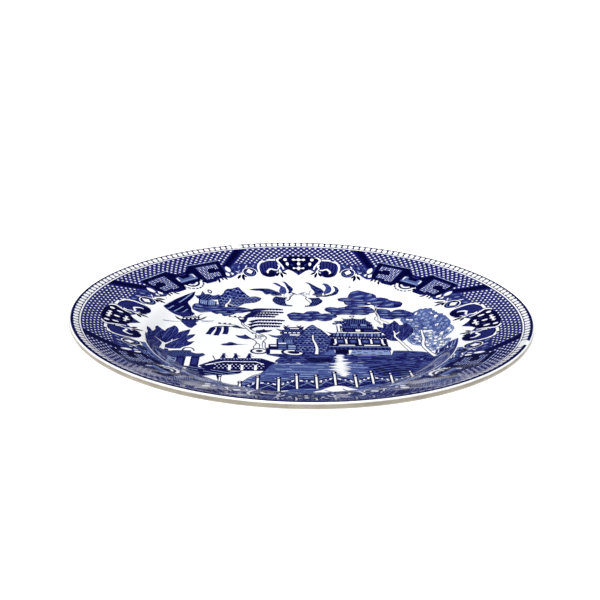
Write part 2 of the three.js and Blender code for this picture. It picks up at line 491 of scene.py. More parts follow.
def scaled(s, outline, seed, pitch=(2.5, 3.1), inks=("pale", "wash", "pale"), ground="mid"):
    """A clump of small overlapping scales of leaves, each with a dark hollow and a pale rim."""
    rng = random.Random(seed)
    outline = smooth(outline)
    edge_lobes(s, outline, 0.6, ground, "dark", seed)
    shape = s.lay(outline, ground)
    p = np.array(outline)
    rows = np.arange(p[:, 1].max(), p[:, 1].min() - pitch[1], -pitch[1])
    for row, y in enumerate(rows):
        for x in np.arange(p[:, 0].min() + pitch[0] * 0.5 * (row % 2), p[:, 0].max() + pitch[0], pitch[0]):
            cx, cy = x + rng.uniform(-0.25, 0.25), y + rng.uniform(-0.4, 0.4)
            s.lay(oval(cx, cy - 0.5, 0.9, 1.2, n=8), rng.choice(("dark", "dark", ground)), shape)
            arc = [around(cx, cy, 1.15, 1.3, a) for a in range(-10, 191, 50)]
            s.line(arc, 0.5, rng.choice(inks), 0.5, within=shape, curved=False)
    return shape


def laced(s, outline, seed, ground, inks, pitch=(3.0, 3.6), edge=None):
    """A clump of open curls of leaves on a pale ground."""
    rng = random.Random(seed)
    outline = smooth(outline)
    edge_lobes(s, outline, 1.0, ground, edge, seed)
    shape = s.lay(outline, ground)
    p = np.array(outline)
    rows = np.arange(p[:, 1].max() - 2.0, p[:, 1].min(), -pitch[1])
    for row, y in enumerate(rows):
        for x in np.arange(p[:, 0].min() + pitch[0] * 0.5 * (row % 2), p[:, 0].max(), pitch[0]):
            cx, cy = x + rng.uniform(-0.6, 0.6), y + rng.uniform(-0.7, 0.7)
            s.lay(oval(cx, cy, 1.5, 1.7, n=10), rng.choice(inks), shape)
            start = rng.uniform(0, 360)
            curl = [around(cx, cy, 1.2, 1.35, start + a) for a in range(0, 241, 40)]
            s.line(curl, 0.65, "mid", 0.4, within=shape, curved=False)
            if rng.random() < 0.4:
                s.lay(oval(cx, cy, 0.5, 0.6, n=6), "mid", shape)
    return shape


def draw_lake(s):
    """The lake, its far bank and the ground that the halls stand on."""
    s.motif = "lake_print"
    water = path(
        -14, -39, -17, -42, -19, -47, -21, -51, -26, -55, -29, -59, -31, -63, -33, -67, -20, -71,
        0, -73, 20, -71, 40, -69, 56, -66, 62, -58, 60, -48, 62, -40, 60, -35, 52, -33, 40, -36,
        28, -37, 12, -38, 3, -38.5, 0, -37, -2, -39.5, -5, -38, -8, -39.5, -10, -38,
    )
    mass(s, water, "wash", [strokes(0, 1.7, "mid", 0.4, 1.2, 3), strokes(0, 3.1, "pale", 0.3, 3, 4)])
    ground = path(
        -19, -26, -12, -26, -6, -24.5, 4, -25, 11, -23, 17, -23, 28, -27, 48, -27, 50, -20, 58, -20,
        66, -22, 73, -27, 72, -31, 62, -30, 54, -33, 44, -36, 32, -36, 22, -38.5, 12, -37.5, 4, -39,
        -4, -38, -12, -40, -15, -36, -12, -31, -17, -28.5,
    )
    mass(s, ground, "mid", [strokes(0, 1.3, "dark", 0.5, 0.9, 5), strokes(0, 2.3, "wash", 0.35, 1.5, 6)])
    bank = path(1, -31, 6, -31.3, 12, -31.3, 16, -33.5, 14.5, -37, 9, -38, 4, -38, 2, -34)
    mass(s, bank, "night", [strokes(0, 1.6, "mid", 0.3, 2, 7)])
    rng = random.Random(12)
    widths = (2.6, 3.4, 2.6, 4.2, 3.0, 5.0, 6.2, 4.4, 6.8, 5.2, 7.0, 4.6, 5.4, 3.4, 2.2)
    for k, wide in enumerate(widths):
        x, y = 20.5 + rng.uniform(-1, 1), -27.6 - 1.9 * k
        s.lay(leaf(x - wide, y + rng.uniform(-0.3, 0.3), x + wide * rng.uniform(0.7, 1.1), y, 2.1), None)
    s.line(path(-19.5, -26, -17, -28, -12, -28.3, -10, -31, -7, -32, -6, -35, -8, -37.5), 1.0, "dark", 0.5)
    shore = path(-15.5, -38, -18.8, -42.5, -20.5, -47.5, -23, -52.5, -27.5, -56, -31, -61, -33, -66)
    s.line(shore, 1.8, None, 2.6)
    s.line([(x + 1.3, y + 0.6) for x, y in shore], 0.7, "dark", 0.4)
    rng = random.Random(11)
    for _ in range(30):
        x, y = rng.uniform(-12, 54), rng.uniform(-64, -42)
        if x > -20 + (-y - 40) * -0.6 and not 11 < x < 28:
            s.line(
                path(x, y, x + rng.uniform(3, 8), y + rng.uniform(-0.3, 0.3)), 0.55,
                rng.choice(("dark", "mid")), 0.2,
            )


def draw_hills(s):
    """The low hills across the water, drawn as long nested ripples."""
    s.motif = "hills_print"
    ground = path(
        30, -38, 38, -35, 50, -33, 60, -32, 70, -33, 72, -40, 70, -47, 64, -55, 54, -57, 44, -56, 36, -53,
        31, -48, 34, -44,
    )
    mass(s, ground, "mid", [strokes(0, 2.2, "wash", 0.4, 1.4, 8)])
    for k in range(7):
        reach = 17.5 - 1.4 * k
        peak = -38 - 2.9 * k
        run = [(52 + reach * t, peak - (6.2 - 0.5 * k) * abs(t) ** 1.4) for t in np.linspace(-1, 1, 15)]
        s.line(run, 1.5, ("dark", "night")[k % 2], 0.9, curved=False)
    for x, y, reach in ((38, -35.6, 9), (54, -31.4, 9), (67, -32.4, 7), (44, -29.6, 7), (60, -27.4, 8)):
        for k in range(2):
            run = [(x + reach * t, y - 1.7 * k - 2.2 * abs(t) ** 1.4) for t in np.linspace(-1, 1, 9)]
            s.line(run, 0.9, "dark", 0.6, curved=False)


def draw_island(s):
    """The far island with its house, tree and dark rocks."""
    s.motif = "island_print"
    ground = path(
        -65, 44, -64, 47, -61, 49, -58, 50.5, -54, 52, -50, 51.5, -46, 49, -42, 48, -38, 47, -35, 46,
        -33, 45, -31, 43.5, -29.8, 41.5, -31, 40, -34, 39, -36, 37.5, -38.5, 38.5, -40, 36, -42, 34,
        -45.5, 32, -46.5, 35, -48, 37, -50, 35.5, -52, 37.5, -54, 39.5, -58, 38.5, -60, 38, -62, 40,
        -64.5, 42,
    )
    layered(s, ground, 10, 4.2, (6.4, 2.1), inks=("mid", "dark", "mid"))
    house = path(-62, 49.5, -61.8, 56.5, -51.5, 56.5, -51.6, 51)
    mass(s, house, "pale", [strokes(90, 1.2, "wash", 0.4, 0, 13)], "dark", curved=False)
    roof = path(
        -65, 55, -63.5, 53.5, -61, 53.5, -58, 54.5, -55.5, 56.5, -51, 59, -50.5, 64, -54, 61,
        -57, 60.8, -59, 59.5, -61, 61.5, -62, 57,
    )
    mass(s, roof, "dark", [strokes(62, 1.1, "wash", 0.35, 0, 14)])
    s.lay(oval(-56.5, 63.2, 1.5), "dark")
    s.lay(oval(-56.5, 63.2, 0.7), None)
    for x in (-62, -57, -52):
        s.line(path(x, 49, x, 56), 0.9, "dark", curved=False)
    tree = path(
        -50, 57, -50, 61.5, -48, 64, -46, 69, -43, 70.5, -39, 73.5, -37, 71.5, -34.5, 69.5, -31.5, 66,
        -28.5, 67, -25.5, 65, -25, 62, -28, 57, -31, 56, -34, 55, -36, 53, -39, 48.5, -43.5, 47.5, -48, 49,
    )
    scaled(s, tree, 15)
    stem(s, path(-43.3, 62, -43.9, 57, -45.4, 52, -45.2, 47.5), (1.6, 2.6), (0.8, 1.5))
    s.line(path(-44.2, 53.5, -41, 50.5, -38, 49), 0.9, None, 0.5)
    shallows = path(-84, 36, -80, 38, -72, 37, -67, 38.5, -63.5, 36, -64.5, 32, -70, 29.5, -77, 29, -82, 31.5)
    mass(s, shallows, "mid", [strokes(0, 1.8, "dark", 0.4, 1, 16)])
    rocks = path(
        -65.5, 65, -64.5, 62, -65, 58, -65.5, 54, -67, 50, -68.5, 46, -66.5, 43, -66, 40, -68, 37, -71, 34,
        -74.5, 31.5, -79, 31, -82.5, 35, -83, 38, -81, 41, -79.5, 45, -77, 49, -75, 53, -72, 57, -69, 60,
    )
    mass(
        s, rocks, "dark",
        [strokes(58, 1.4, "night", 0.45, 0.8, 17), strokes(64, 2.8, "pale", 0.22, 1.6, 18)],
    )


def draw_clouds(s):
    """Scrolled clouds over the lake."""
    s.motif = "cloud_print"
    cloud = path(
        -7, 35, -4, 38.5, 0, 37.5, 2.5, 36.5, 4.5, 40, 7.5, 41, 10.5, 40.3, 11.5, 37.5, 13, 36, 16, 37,
        19.5, 36.5, 21.5, 33.5, 20.5, 31, 18.5, 29.5, 18, 27.5, 15, 25.3, 12, 26, 10.5, 28, 9, 27,
        6.5, 25, 3.5, 25, 2, 26, 0, 25.5, -3, 25, -5.5, 27, -6.3, 30,
    )
    layered(s, cloud, 19)


def draw_cloud_tree(s):
    """The tall orange tree behind the great hall, with its clumps of leaves."""
    s.motif = "orange_tree_print"
    top = path(
        33, 71.5, 35, 72.5, 38, 72, 41, 70.3, 43, 68.8, 46, 66.8, 47.8, 64.5, 48, 62.8, 51, 61.5, 54, 59.5,
        56, 57, 59, 54.5, 61.5, 52.5, 62.8, 50.5, 62, 49, 56, 49.5, 50, 50, 47.5, 51.5, 46.5, 54, 44, 56,
        43, 54.5, 40, 53.5, 35, 53, 31, 53.5, 29, 55.5, 28.8, 57.5, 28.5, 60, 26, 61, 25, 63, 25.5, 65,
        28, 66.5, 31, 67, 32, 69,
    )
    middle = path(
        16, 45, 16.5, 47, 18.5, 48.5, 21, 48, 23, 46.5, 25, 47.8, 28, 49, 31, 52.5, 34, 52.5, 36, 50.5,
        42, 50, 43.5, 48, 44.8, 45, 45, 42, 44, 40.5, 41.5, 39.5, 41, 37.5, 38.5, 36.5, 34.5, 37,
        32.5, 36.5, 29.5, 37, 25, 37, 22.5, 36, 20, 37, 19, 39.5, 17, 41.5,
    )
    right = path(
        47.5, 45, 49.5, 46.5, 52.5, 46, 54.5, 44, 54.5, 41.5, 57, 42, 58.5, 44.5, 60.5, 45, 63, 43.5,
        64.8, 41.5, 67.5, 38, 68, 36, 66.5, 34.5, 64, 34, 62.5, 32, 57, 31, 54.5, 29.5, 51.5, 30,
        49.5, 31, 48, 33.5, 47, 39, 47, 42,
    )
    trunk = path(
        46.5, 52, 46, 45, 45.3, 41, 46, 35, 44.5, 31, 44.3, 28, 45.5, 25, 47, 20, 53, 20, 51.5, 24,
        49.5, 26, 48, 29, 48.3, 31, 47.8, 36, 47.2, 41, 47.6, 46, 48.2, 52,
    )
    for k, clump in enumerate((top, middle, right)):
        layered(s, clump, 21 + k)
    s.lay(oval(43.5, 57.5, 1.2, 0.9), None)
    mass(s, trunk, None, edge="dark", width=0.8)
    s.line(path(46.9, 48, 46.4, 40, 46.8, 33, 46.2, 27, 47.6, 22), 0.5, "dark", 0.3)


def draw_great_hall(s):
    """The tall hall with its tower, roofs and brick foot."""
    s.motif = "great_hall_print"
    # tower
    s.lay(oval(31, 33, 1.6), "dark")
    s.lay(oval(31, 33, 0.7), None)
    mass(
        s,
        path(
            24, 31.5, 25.8, 29, 29.5, 29, 31, 30.6, 33, 29, 37, 29, 39.5, 32, 39, 27, 42, 22.5, 40, 20.5,
            26, 20.5, 23, 22.5, 25.5, 26.5,
        ),
        "dark", [strokes(82, 1.3, "wash", 0.3, 0, 41)],
    )
    s.lay(box(24, 7, 42, 20.5), "dark")
    for x in (24.2, 26.6):
        s.lay(box(x, 17, x + 1.5, 20), "mid")
    s.lay(box(29, 16.9, 33.4, 20), "wash")
    s.lay(box(35, 17.3, 38.5, 20), "pale")
    s.lay(box(23, 13.4, 42.5, 16.6), "mid")
    s.hatch(s.lay(box(23.5, 13.8, 42, 16.2), "wash"), 90, 1.25, 0.6, "dark", 42)
    s.lay(path(23.5, 12.5, 44, 12.5, 46.5, 7.4, 24, 7.4), "night")
    s.lay(box(25.5, 8.6, 30, 11.2), "mid")
    s.lay(box(31.5, 8.2, 34.2, 11.4), None)
    s.lay(box(36.5, 8.6, 42.5, 11), "mid")
    # side wing
    for x in (21, 23):
        s.line(path(x, 5, x, 17.5), 0.7, "dark", curved=False)
    s.lay(box(20.2, 5.4, 27, 7.8), "dark")
    s.lay(box(20.6, 5.9, 26.5, 7.2), None)
    for x, y in ((20, 20.5), (22.4, 21.7), (24.8, 20.8), (21.4, 23.8), (24.2, 24.2), (26.4, 23)):
        s.lay(oval(x, y, 1.5), "dark")
        s.lay(oval(x, y, 0.6), "pale")
    # main roof
    roof = path(14.5, 7.6, 17, 5.6, 44, 5.6, 48, 8.2, 47.4, 3, 49.5, -0.4, 14, -0.4, 17, 3)
    mass(s, roof, "dark", curved=False)
    for k in range(15):
        x = 18 + k * 1.95
        s.lay(path(x, 0.8, x + 1.2, 0.8, x + 1.7, 5, x + 0.5, 5), "pale" if k % 2 else "wash")
    s.lay(box(46.2, 3, 47.2, 6), None)
    s.lay(box(13.5, -3.6, 49.5, -0.4), "dark")
    dots(s, [(x, -2.2) for x in np.arange(15, 49, 1.55)], 0.5, None)
    # open hall
    s.lay(box(15, -14.6, 48, -3.6), "night")
    for x in (19, 25, 32.5, 39, 45.3):
        s.lay(box(x - 0.55, -10.5, x + 0.55, -3.6), None)
    for x in (21.8, 28.8, 35.8, 42.2):
        s.lay(box(x - 1.9, -9.6, x + 1.9, -4.6), "mid")
        s.lay(box(x - 1.2, -8.6, x + 1.2, -5.6), "wash")
    dots(s, ((18.3, -11.3), (32.5, -11.3), (45.8, -11.3)), 0.9, None)
    s.lay(box(20.5, -13.6, 29.5, -12.2), None)
    s.lay(box(34.5, -13.5, 43.5, -12.1), None)
    s.lay(box(13.6, -15.5, 49, -14.6), "pale")
    s.hatch(s.lay(box(14, -19.7, 49, -15.5), "dark"), 90, 2.1, 0.7, "mid", 43)
    # brick foot
    s.lay(box(12, -27, 17.7, -19.7), "wash")
    s.lay(box(18, -25.5, 25.4, -19.7), "night")
    s.lay(path(25.6, -26, 48, -26.6, 47.6, -19.8, 27.5, -19.8), "pale")
    s.line(path(26, -26.2, 48, -26.8, 47.9, -19.7), 0.7, "dark", curved=False)
    bricks = (
        (31, -21.5), (38.7, -21.5), (45.8, -21.3), (34.5, -23.4), (42.3, -23.4), (31, -25.3), (38.5, -25.3),
        (28, -23.2),
    )
    for x, y in bricks:
        s.lay(box(x - 1.1, y - 0.45, x + 1.1, y + 0.45), "dark")


def draw_small_house(s):
    """The small two-roofed house left of the fir, and its ring stone."""
    s.motif = "small_house_print"
    for x in (-8.5, -1):
        s.line(path(x - 1.4, 16.8, x, 14.2, x + 1.2, 16.8), 0.9, "dark")
    mass(s, path(-10.5, 15, -9, 14, 0, 14.3, 2, 15.5, 0.8, 9.4, -9.4, 9.4), "dark", curved=False)
    s.lay(box(-6.4, 11.2, -1.2, 12.7), None)
    s.lay(box(-8.4, 9.9, -6.9, 13.2), "mid")
    roof = path(-14.5, 11.8, -13, 8.5, -10, 6.6, 1.8, 6.4, 2.4, 10, -9, 10, -12, 10)
    mass(s, roof, "dark", [strokes(75, 1.25, "wash", 0.35, 0, 44)])
    s.lay(box(-12.2, 3.2, 1.4, 6.6), "dark")
    for x in (-9, -6.5, -4, -1.6):
        s.lay(box(x - 0.8, 4.3, x + 0.8, 6), None)
    s.lay(box(-10.8, -0.2, 1.4, 3.2), "mid")
    s.lay(box(-6.6, 0.9, -0.6, 2.8), None)
    lower = path(
        -19, 2.6, -17, -1, -14, -3, -12, -4.2, -3.6, -4.2, -2.4, 0.2, -10.2, 0.2, -10.6, 3, -13, 0.8,
        -16, 0.8,
    )
    mass(s, lower, "dark", [strokes(70, 1.25, "wash", 0.35, 0, 45)])
    s.lay(box(-14, -12.3, -3.4, -4.2), "wash")
    s.hatch(s.lay(box(-8.2, -9.6, -3.8, -5.6), "mid"), 90, 1.1, 0.45, "pale", 46)
    for x in (-13.6, -10.2, -3.6):
        s.lay(box(x - 0.5, -12.4, x + 0.5, -4.2), "dark")
    s.lay(box(-14, -6.2, -3.6, -5.4), "dark")
    s.lay(box(-13, -11.8, -8.8, -10.2), None)
    s.lay(box(-18.5, -20.5, -1.8, -12.3), "dark")
    s.lay(box(-13, -19.4, -8.6, -13.8), "wash")
    s.lay(box(-7.6, -19.4, -3, -13.8), "pale")
    s.lay(box(-18, -17.5, -2, -16.6), "night")
    s.lay(box(-17.4, -15.4, -14, -13.6), None)
    s.lay(oval(-5, -24, 6.8, 4.6, -16, 24), "dark")
    s.lay(oval(-5, -24, 5.2, 3.3, -16, 20), None)
    s.lay(oval(-4.8, -24, 3.4, 1.9, -16, 16), "night")


def draw_fir(s):
    """The pointed fir between the two houses."""
    s.motif = "fir_print"
    fir = path(
        6.8, 17.5, 5, 15, 3, 11, 2, 9, 1.5, 5, -1, 0, -3, -4, -4.5, -8, -3, -13, -2.5, -18, -3.5, -22, 2, -24,
        8, -24, 13.5, -22, 13.5, -19, 14, -15, 15, -12, 16, -6, 15.5, -2, 14, 3, 12.5, 7, 10.5, 11, 9, 13,
    )
    scaled(s, fir, 47)
    trunk = path(6.5, 2, 6.5, -5, 7.3, -10, 8, -15, 8.1, -20, 7.6, -26)
    stem(s, trunk, (1.5, 3.0), (0.7, 1.8))


def draw_willow(s):
    """The willow that leans over the bridge."""
    s.motif = "willow_print"
    rows = (
        (-31, 44.2, -10.4, 3.0), (-30.4, 39.2, -10, 2.7), (-32.4, 35.4, -13, 2.5), (-34, 31.6, -15, 2.6),
        (-29.6, 25.2, -9.4, 2.6), (-30.2, 20.2, -11, 2.6), (-29.2, 15.6, -12, 2.5),
    )
    for x0, y, _, _ in rows[1:4]:
        s.lay(path(x0, y - 1, x0 + 5, y + 1, x0 + 12, y + 4.5, x0 + 3, y + 4), "mid")
    for x0, y, x1, drop in rows:
        run = path(
            x0, y - drop - 1.2, x0 + 2, y - 1.6, x0 + 5, y, (x0 + x1) / 2, y + 0.2, x1 - 4, y, x1, y - 0.7,
        )
        s.line(run, 2.9, "dark", 2.2)
        s.line([(x, v + 0.2) for x, v in run[2:5]], 0.5, "mid", 0.3)
        for k in range(9):
            x = x0 + 3.4 + (x1 - x0 - 4) * k / 9
            s.lay(leaf(x, y - 0.6, x + 0.8, y - 2.1, 1.1), "dark")
    s.line(path(-27.6, 3, -28.4, 8, -29, 12, -28.6, 15), 1.1, "dark", 0.9)
    s.line(path(-41, 14, -44, 14.4, -48, 14, -51.4, 12, -52.6, 8), 1.7, "dark", 1.2)
    for spine in (
        path(-50.4, 12, -51.6, 7.5, -53, 1.5), path(-47.2, 13, -47.4, 7, -48.4, 0),
        path(-43.4, 13.6, -43, 8, -43.4, 2),
    ):
        s.line(spine, 2.9, "dark", 3.1)
        s.line([(x + 0.5, y) for x, y in spine], 0.5, "mid", 0.3)
    for x0, y0 in ((-46, 18), (-40.6, 29.8)):
        s.line(path(x0 - 2.4, y0 + 0.8, x0 + 3, y0 - 0.4, x0 + 8, y0 - 1.2), 0.55, "dark", 0.5)
        dots(s, ((x0 - 1.6, y0 + 1.6), (x0 + 1.6, y0 + 1.2), (x0 + 4.6, y0 + 0.4)), 0.95, "dark")
    fork = path(
        -37.5, 30, -37, 27, -36, 24, -34.8, 21, -33.2, 20.5, -32, 23, -31.5, 27, -31.2, 31, -32.5, 29,
        -33.8, 26.5, -35.5, 26.5, -36.8, 28.5,
    )
    mass(s, fork, "dark")
    trunk = path(
        -35, 21, -34.8, 18, -33, 14, -31.5, 11, -30, 7, -28.5, 5, -26, 2.5, -26.5, -0.5, -26, -3, -28, -5.5,
        -26, -8, -25.6, -11, -26.2, -14, -27, -16, -26.5, -20, -20, -22, -19, -20, -20, -17, -20, -11,
        -21, -8, -19.5, -4, -20, -1, -22, 2, -24.5, 4.6, -26, 6, -27.5, 8, -29, 10.5, -30, 14, -32.5, 17,
        -33.3, 20.5,
    )
    shape = mass(s, trunk, None, edge="dark", width=1.1)
    for turn in (2.6, 1.5, 0.6):
        s.line(oval(-23, -2, turn, turn * 1.15, n=16)[:14], 0.6, "dark", 0.35, within=shape)
    s.line(path(-26.5, -9, -23.5, -13, -23.5, -19), 0.7, "dark", 0.4, within=shape)
    s.line(path(-21.5, -8, -22, -13, -21.5, -18), 0.6, "mid", 0.3, within=shape)
    for points in (
        path(
            -26, 4.5, -26, 8.5, -24, 9, -22.5, 9.5, -21.5, 11, -20.5, 9, -18, 9, -16.5, 10, -17, 8, -19, 6,
            -21.5, 5, -24, 4,
        ),
        path(
            -41.5, 14.5, -39, 15.5, -38, 16.5, -36.5, 15.5, -35, 13.5, -33, 12, -31, 10.5, -34, 11,
            -37.5, 12, -40, 13.5,
        ),
        path(
            -37.5, 1, -35, 0, -33, 0.5, -32, 2, -31, 0.5, -29.5, -2, -28, -4, -26.5, -5.5, -29, -5, -32, -5,
            -35, -3.5, -36.5, -1.5,
        ),
        path(
            -45, -13.5, -43, -12, -41.5, -11.5, -40.5, -10, -39, -10, -37, -11.5, -35, -12.8, -30, -13,
            -35, -13.8, -40, -15, -43, -14.8,
        ),
    ):
        mass(s, points, "dark", [strokes(20, 1.6, "wash", 0.25, 2, 50)])
    s.lay(oval(-23.5, -22.5, 5, 4.2), "dark")
    s.lay(oval(-23.5, -22.3, 3.7, 3), None)
    s.lay(oval(-23.4, -22.3, 1.9, 1.6), "night")
    mass(s, path(-19.5, -17, -17.6, -20, -17.4, -25.5, -19.4, -26.5), "dark")


def bird_head(s, head, cheek, eye, beak):
    """A bird's head from the ovals of its head and cheek, the place of its eye and its beak."""
    s.lay(oval(*head), "mid")
    s.lay(oval(*cheek), None)
    s.lay(oval(*eye, 0.5), "dark")
    s.lay(leaf(*beak, 1.3), "dark")


def draw_birds(s):
    """Two swallows that meet over the lake."""
    s.motif = "birds_print"
    feather = strokes(18, 1.25, "wash", 0.28, 1.6, 51)
    left = (
        path(
            -32.5, 74, -30, 75.5, -26, 76.8, -21, 77.7, -19, 77.8, -16, 77, -13, 75.5, -11.5, 73.5, -11, 70,
            -14.5, 69.8, -15.5, 69.5, -17, 70, -18, 71.5, -18.5, 72.8, -20, 72, -21, 71.5, -22.5, 73,
            -24, 74.8,
        ),
        path(
            -17.5, 82.5, -15, 83, -13, 82.3, -11, 81, -9, 80, -8, 77, -8.5, 73, -12.5, 74, -12.8, 77.5,
            -12, 80,
        ),
        path(
            -11.8, 84, -9.5, 84.5, -8, 83.5, -6.5, 82, -4.5, 80.3, -3.8, 79, -4.5, 77, -5, 75, -7, 75,
            -6.8, 78, -8, 80.3, -8.8, 82, -10, 83.7,
        ),
        path(
            -15, 68.5, -16.5, 65, -17, 61, -16.3, 57.5, -14.8, 54.5, -12.8, 52.2, -10.5, 51, -8, 50.3,
            -4.5, 50, -4.5, 52, -7.5, 52.8, -8.5, 54.5, -8.8, 57, -8.7, 63, -7.5, 65.5, -11, 67,
        ),
    )
    right = (
        path(
            3.5, 84.2, 6, 84.2, 8, 83.2, 10, 81.8, 12, 80.3, 14, 79.2, 15.5, 77.5, 16, 76, 15, 74, 13, 72,
            10, 71, 8.5, 72, 9, 74, 10, 75.5, 9.5, 77.5, 8, 79.5, 7.2, 81.5, 5.8, 83.2,
        ),
        path(
            14.8, 82.4, 16.5, 82.8, 18.5, 82, 20, 80.5, 21, 78.5, 20.8, 76.5, 19.5, 74.5, 16, 73.5, 16, 76,
            16.8, 77.5, 17.3, 79.5, 16, 81.5,
        ),
        path(
            21.8, 80, 23.5, 79.5, 25, 78, 25.7, 76, 25, 74, 23.5, 72.3, 21, 71, 18.5, 69.3, 16.5, 68.5,
            14.5, 69, 14, 70.5, 16, 71.5, 19, 73, 21.5, 74.5, 23, 76, 23, 78, 22, 79.5,
        ),
        path(
            6, 66.5, 9, 66, 12.8, 67, 13.5, 64, 14.5, 61.5, 14, 58, 12.5, 55, 10.5, 52, 8, 50.3, 5, 49.5,
            3, 49.2, 3.2, 51.5, 5.5, 52, 6.2, 54, 7.3, 57, 7.6, 60, 7, 63, 5.5, 65.5,
        ),
    )
    for wings in (left, right):
        for k, outline in enumerate(wings):
            mass(
                s, outline, "dark" if k != 1 else "mid",
                [dict(feather, seed=52 + k, angle=18 if k < 3 else 100)],
            )
    mass(
        s, path(-9.6, 67.5, -9.8, 72, -8.4, 75.5, -5.6, 74.6, -3.8, 71.5, -5, 68, -6, 64.5, -8, 66), None,
        edge="dark", width=0.5,
    )
    s.line(path(-8, 60, -6.5, 62.5, -5.7, 65, -6, 67.5, -5, 70, -3.8, 72), 0.9, "dark", 0.6)
    bird_head(s, (-4.6, 73.8, 2.3, 2.0), (-5.0, 73.6, 1.6, 1.3), (-4.0, 74.2), (-3.2, 74.2, -0.9, 72.2))
    mass(
        s, path(11, 67.5, 15, 69, 15, 73, 12.5, 73.4, 10.5, 71.5), "mid",
        [strokes(70, 1.1, "dark", 0.4, 0.8, 57)],
    )
    bird_head(s, (3.0, 73.9, 2.5, 2.2), (3.3, 73.8, 1.8, 1.5), (2.6, 74.4), (1.2, 74.6, -0.9, 72.6))
    s.line(path(2.5, 71, 4.5, 68, 4, 65, 4.8, 62, 6.2, 58.5, 6.8, 55), 0.8, "dark", 0.5)
    s.line(path(6.5, 71.5, 6.3, 74, 7, 77, 8, 78), 0.6, "dark", 0.4)


def draw_boat(s):
    """The boat on the far water with its mast and reflection."""
    s.motif = "boat_print"
    reflection = path(
        -71, 23.5, -70, 21, -69, 19, -67, 15, -65, 12, -63, 11, -62, 14, -60.5, 17, -61.5, 20, -59.5, 23,
        -64, 24,
    )
    mass(s, reflection, "mid", [strokes(0, 1.3, "dark", 0.45, 0.8, 58)])
    s.line(path(-59, 23.4, -55, 22.8, -51, 23.6), 0.8, "wash", 0.3)
    s.line(path(-58, 21.2, -54.5, 21.6, -51.5, 21.4), 0.7, "wash", 0.3)
    s.line(path(-80, 16.5, -75, 20, -70, 22.5), 0.6, "wash", 0.3)
    s.lay(box(-70, 24.6, -60, 28.8), "dark")
    for x in (-68.6, -66.2, -63.8, -61.4):
        s.lay(box(x - 0.6, 25.6, x + 0.6, 27.8), None)
    s.line(path(-71, 29.3, -65, 30.4, -59.4, 29.2), 1.1, "dark", 0.7)
    hull = path(
        -74.5, 27.8, -73, 25, -70, 24, -67, 23.5, -60, 24, -58, 25.5, -56.5, 27.5, -55.5, 30.8, -57.6, 28.6,
        -60, 26.2, -70, 25.8, -72.6, 26.8,
    )
    mass(s, hull, "night")
    s.line(path(-60.8, 28, -60.5, 32, -59, 33.8), 0.8, "dark", 0.5)
    s.line(path(-66.5, 42, -65.5, 30), 0.9, "dark", 0.9, curved=False)
    for x in (-70.5, -68.8, -67.4, -63.8, -62.2):
        s.line(path(-66.3, 40.5, x, 30), 0.35, "dark", 0.3, curved=False)


def fan_tree(s, outline, veins, seed):
    """A clump of broad leaves: an even ground, a dark line between leaves and fine veins."""
    shape = mass(
        s, outline, "mid",
        [strokes(70, 2.2, "dark", 0.3, 1.4, seed), strokes(82, 3.4, "wash", 0.12, 2, seed + 1)], "dark",
        0.9,
    )
    for vein in veins:
        s.line(vein, 0.8, "dark", 0.4, within=shape)


def draw_left_tree(s):
    """The broad-leaved tree at the left of the landscape, and the path below it."""
    s.motif = "left_tree_print"
    s.line(path(-87.5, -13, -85.5, -20, -83, -26.5, -80, -32), 0.8, "dark", 0.6)
    s.line(path(-84.2, -22.5, -81.5, -27.5, -78.5, -31.5), 0.7, "dark", 0.5)
    crown = path(
        -73.5, 15, -75, 12, -77, 8, -77.5, 4.5, -79, 5, -82, 6.5, -82.8, 4, -82.5, 0, -83.5, -4, -85, -2,
        -86.6, -0.8, -86.6, -4, -85.5, -8, -85.8, -12, -86.4, -9.5, -86, -14, -84.5, -21, -82, -25.5,
        -80.5, -27, -78, -24, -76, -22, -74.5, -20, -67, -20, -65, -17.5, -62.5, -15.5, -61, -13, -59.5, -9,
        -62.5, -10, -64, -8, -62, -5, -60.5, -1.5, -60, 1.5, -63, 0.5, -65, -1, -64, 2, -63.5, 9, -66, 7.5,
        -68.5, 5.5, -70, 3.5, -70, 7, -71, 11, -72.5, 14,
    )
    veins = [
        path(-76.5, -12, -74, 0, -73.5, 12), path(-77, -14, -79, -4, -81, 4),
        path(-77, -14, -82, -8, -85, -3),
        path(-76, -12, -70, -8, -63, -7.5), path(-76, -10, -70, -1, -64.5, 6),
        path(-76, -15, -70, -15, -63.5, -13.5),
        path(-77, -16, -81, -17, -84, -18),
    ]
    fan_tree(s, crown, veins, 60)
    s.line(path(-76.4, -12, -76, -17, -76, -24), 1.3, None, 2.6)
    s.line(path(-76.4, -14, -79, -11, -81.5, -10), 1.0, None, 0.5)
    s.line(path(-76, -15, -73, -10, -69, -5.5), 1.3, None, 0.5)
    s.line(path(-72.4, -9, -72.2, -6), 0.7, None, 0.4)
    s.line(path(-65, -22, -64, -19, -61.5, -18.3, -59.5, -20, -58.5, -23), 1.1, "dark", 0.6)


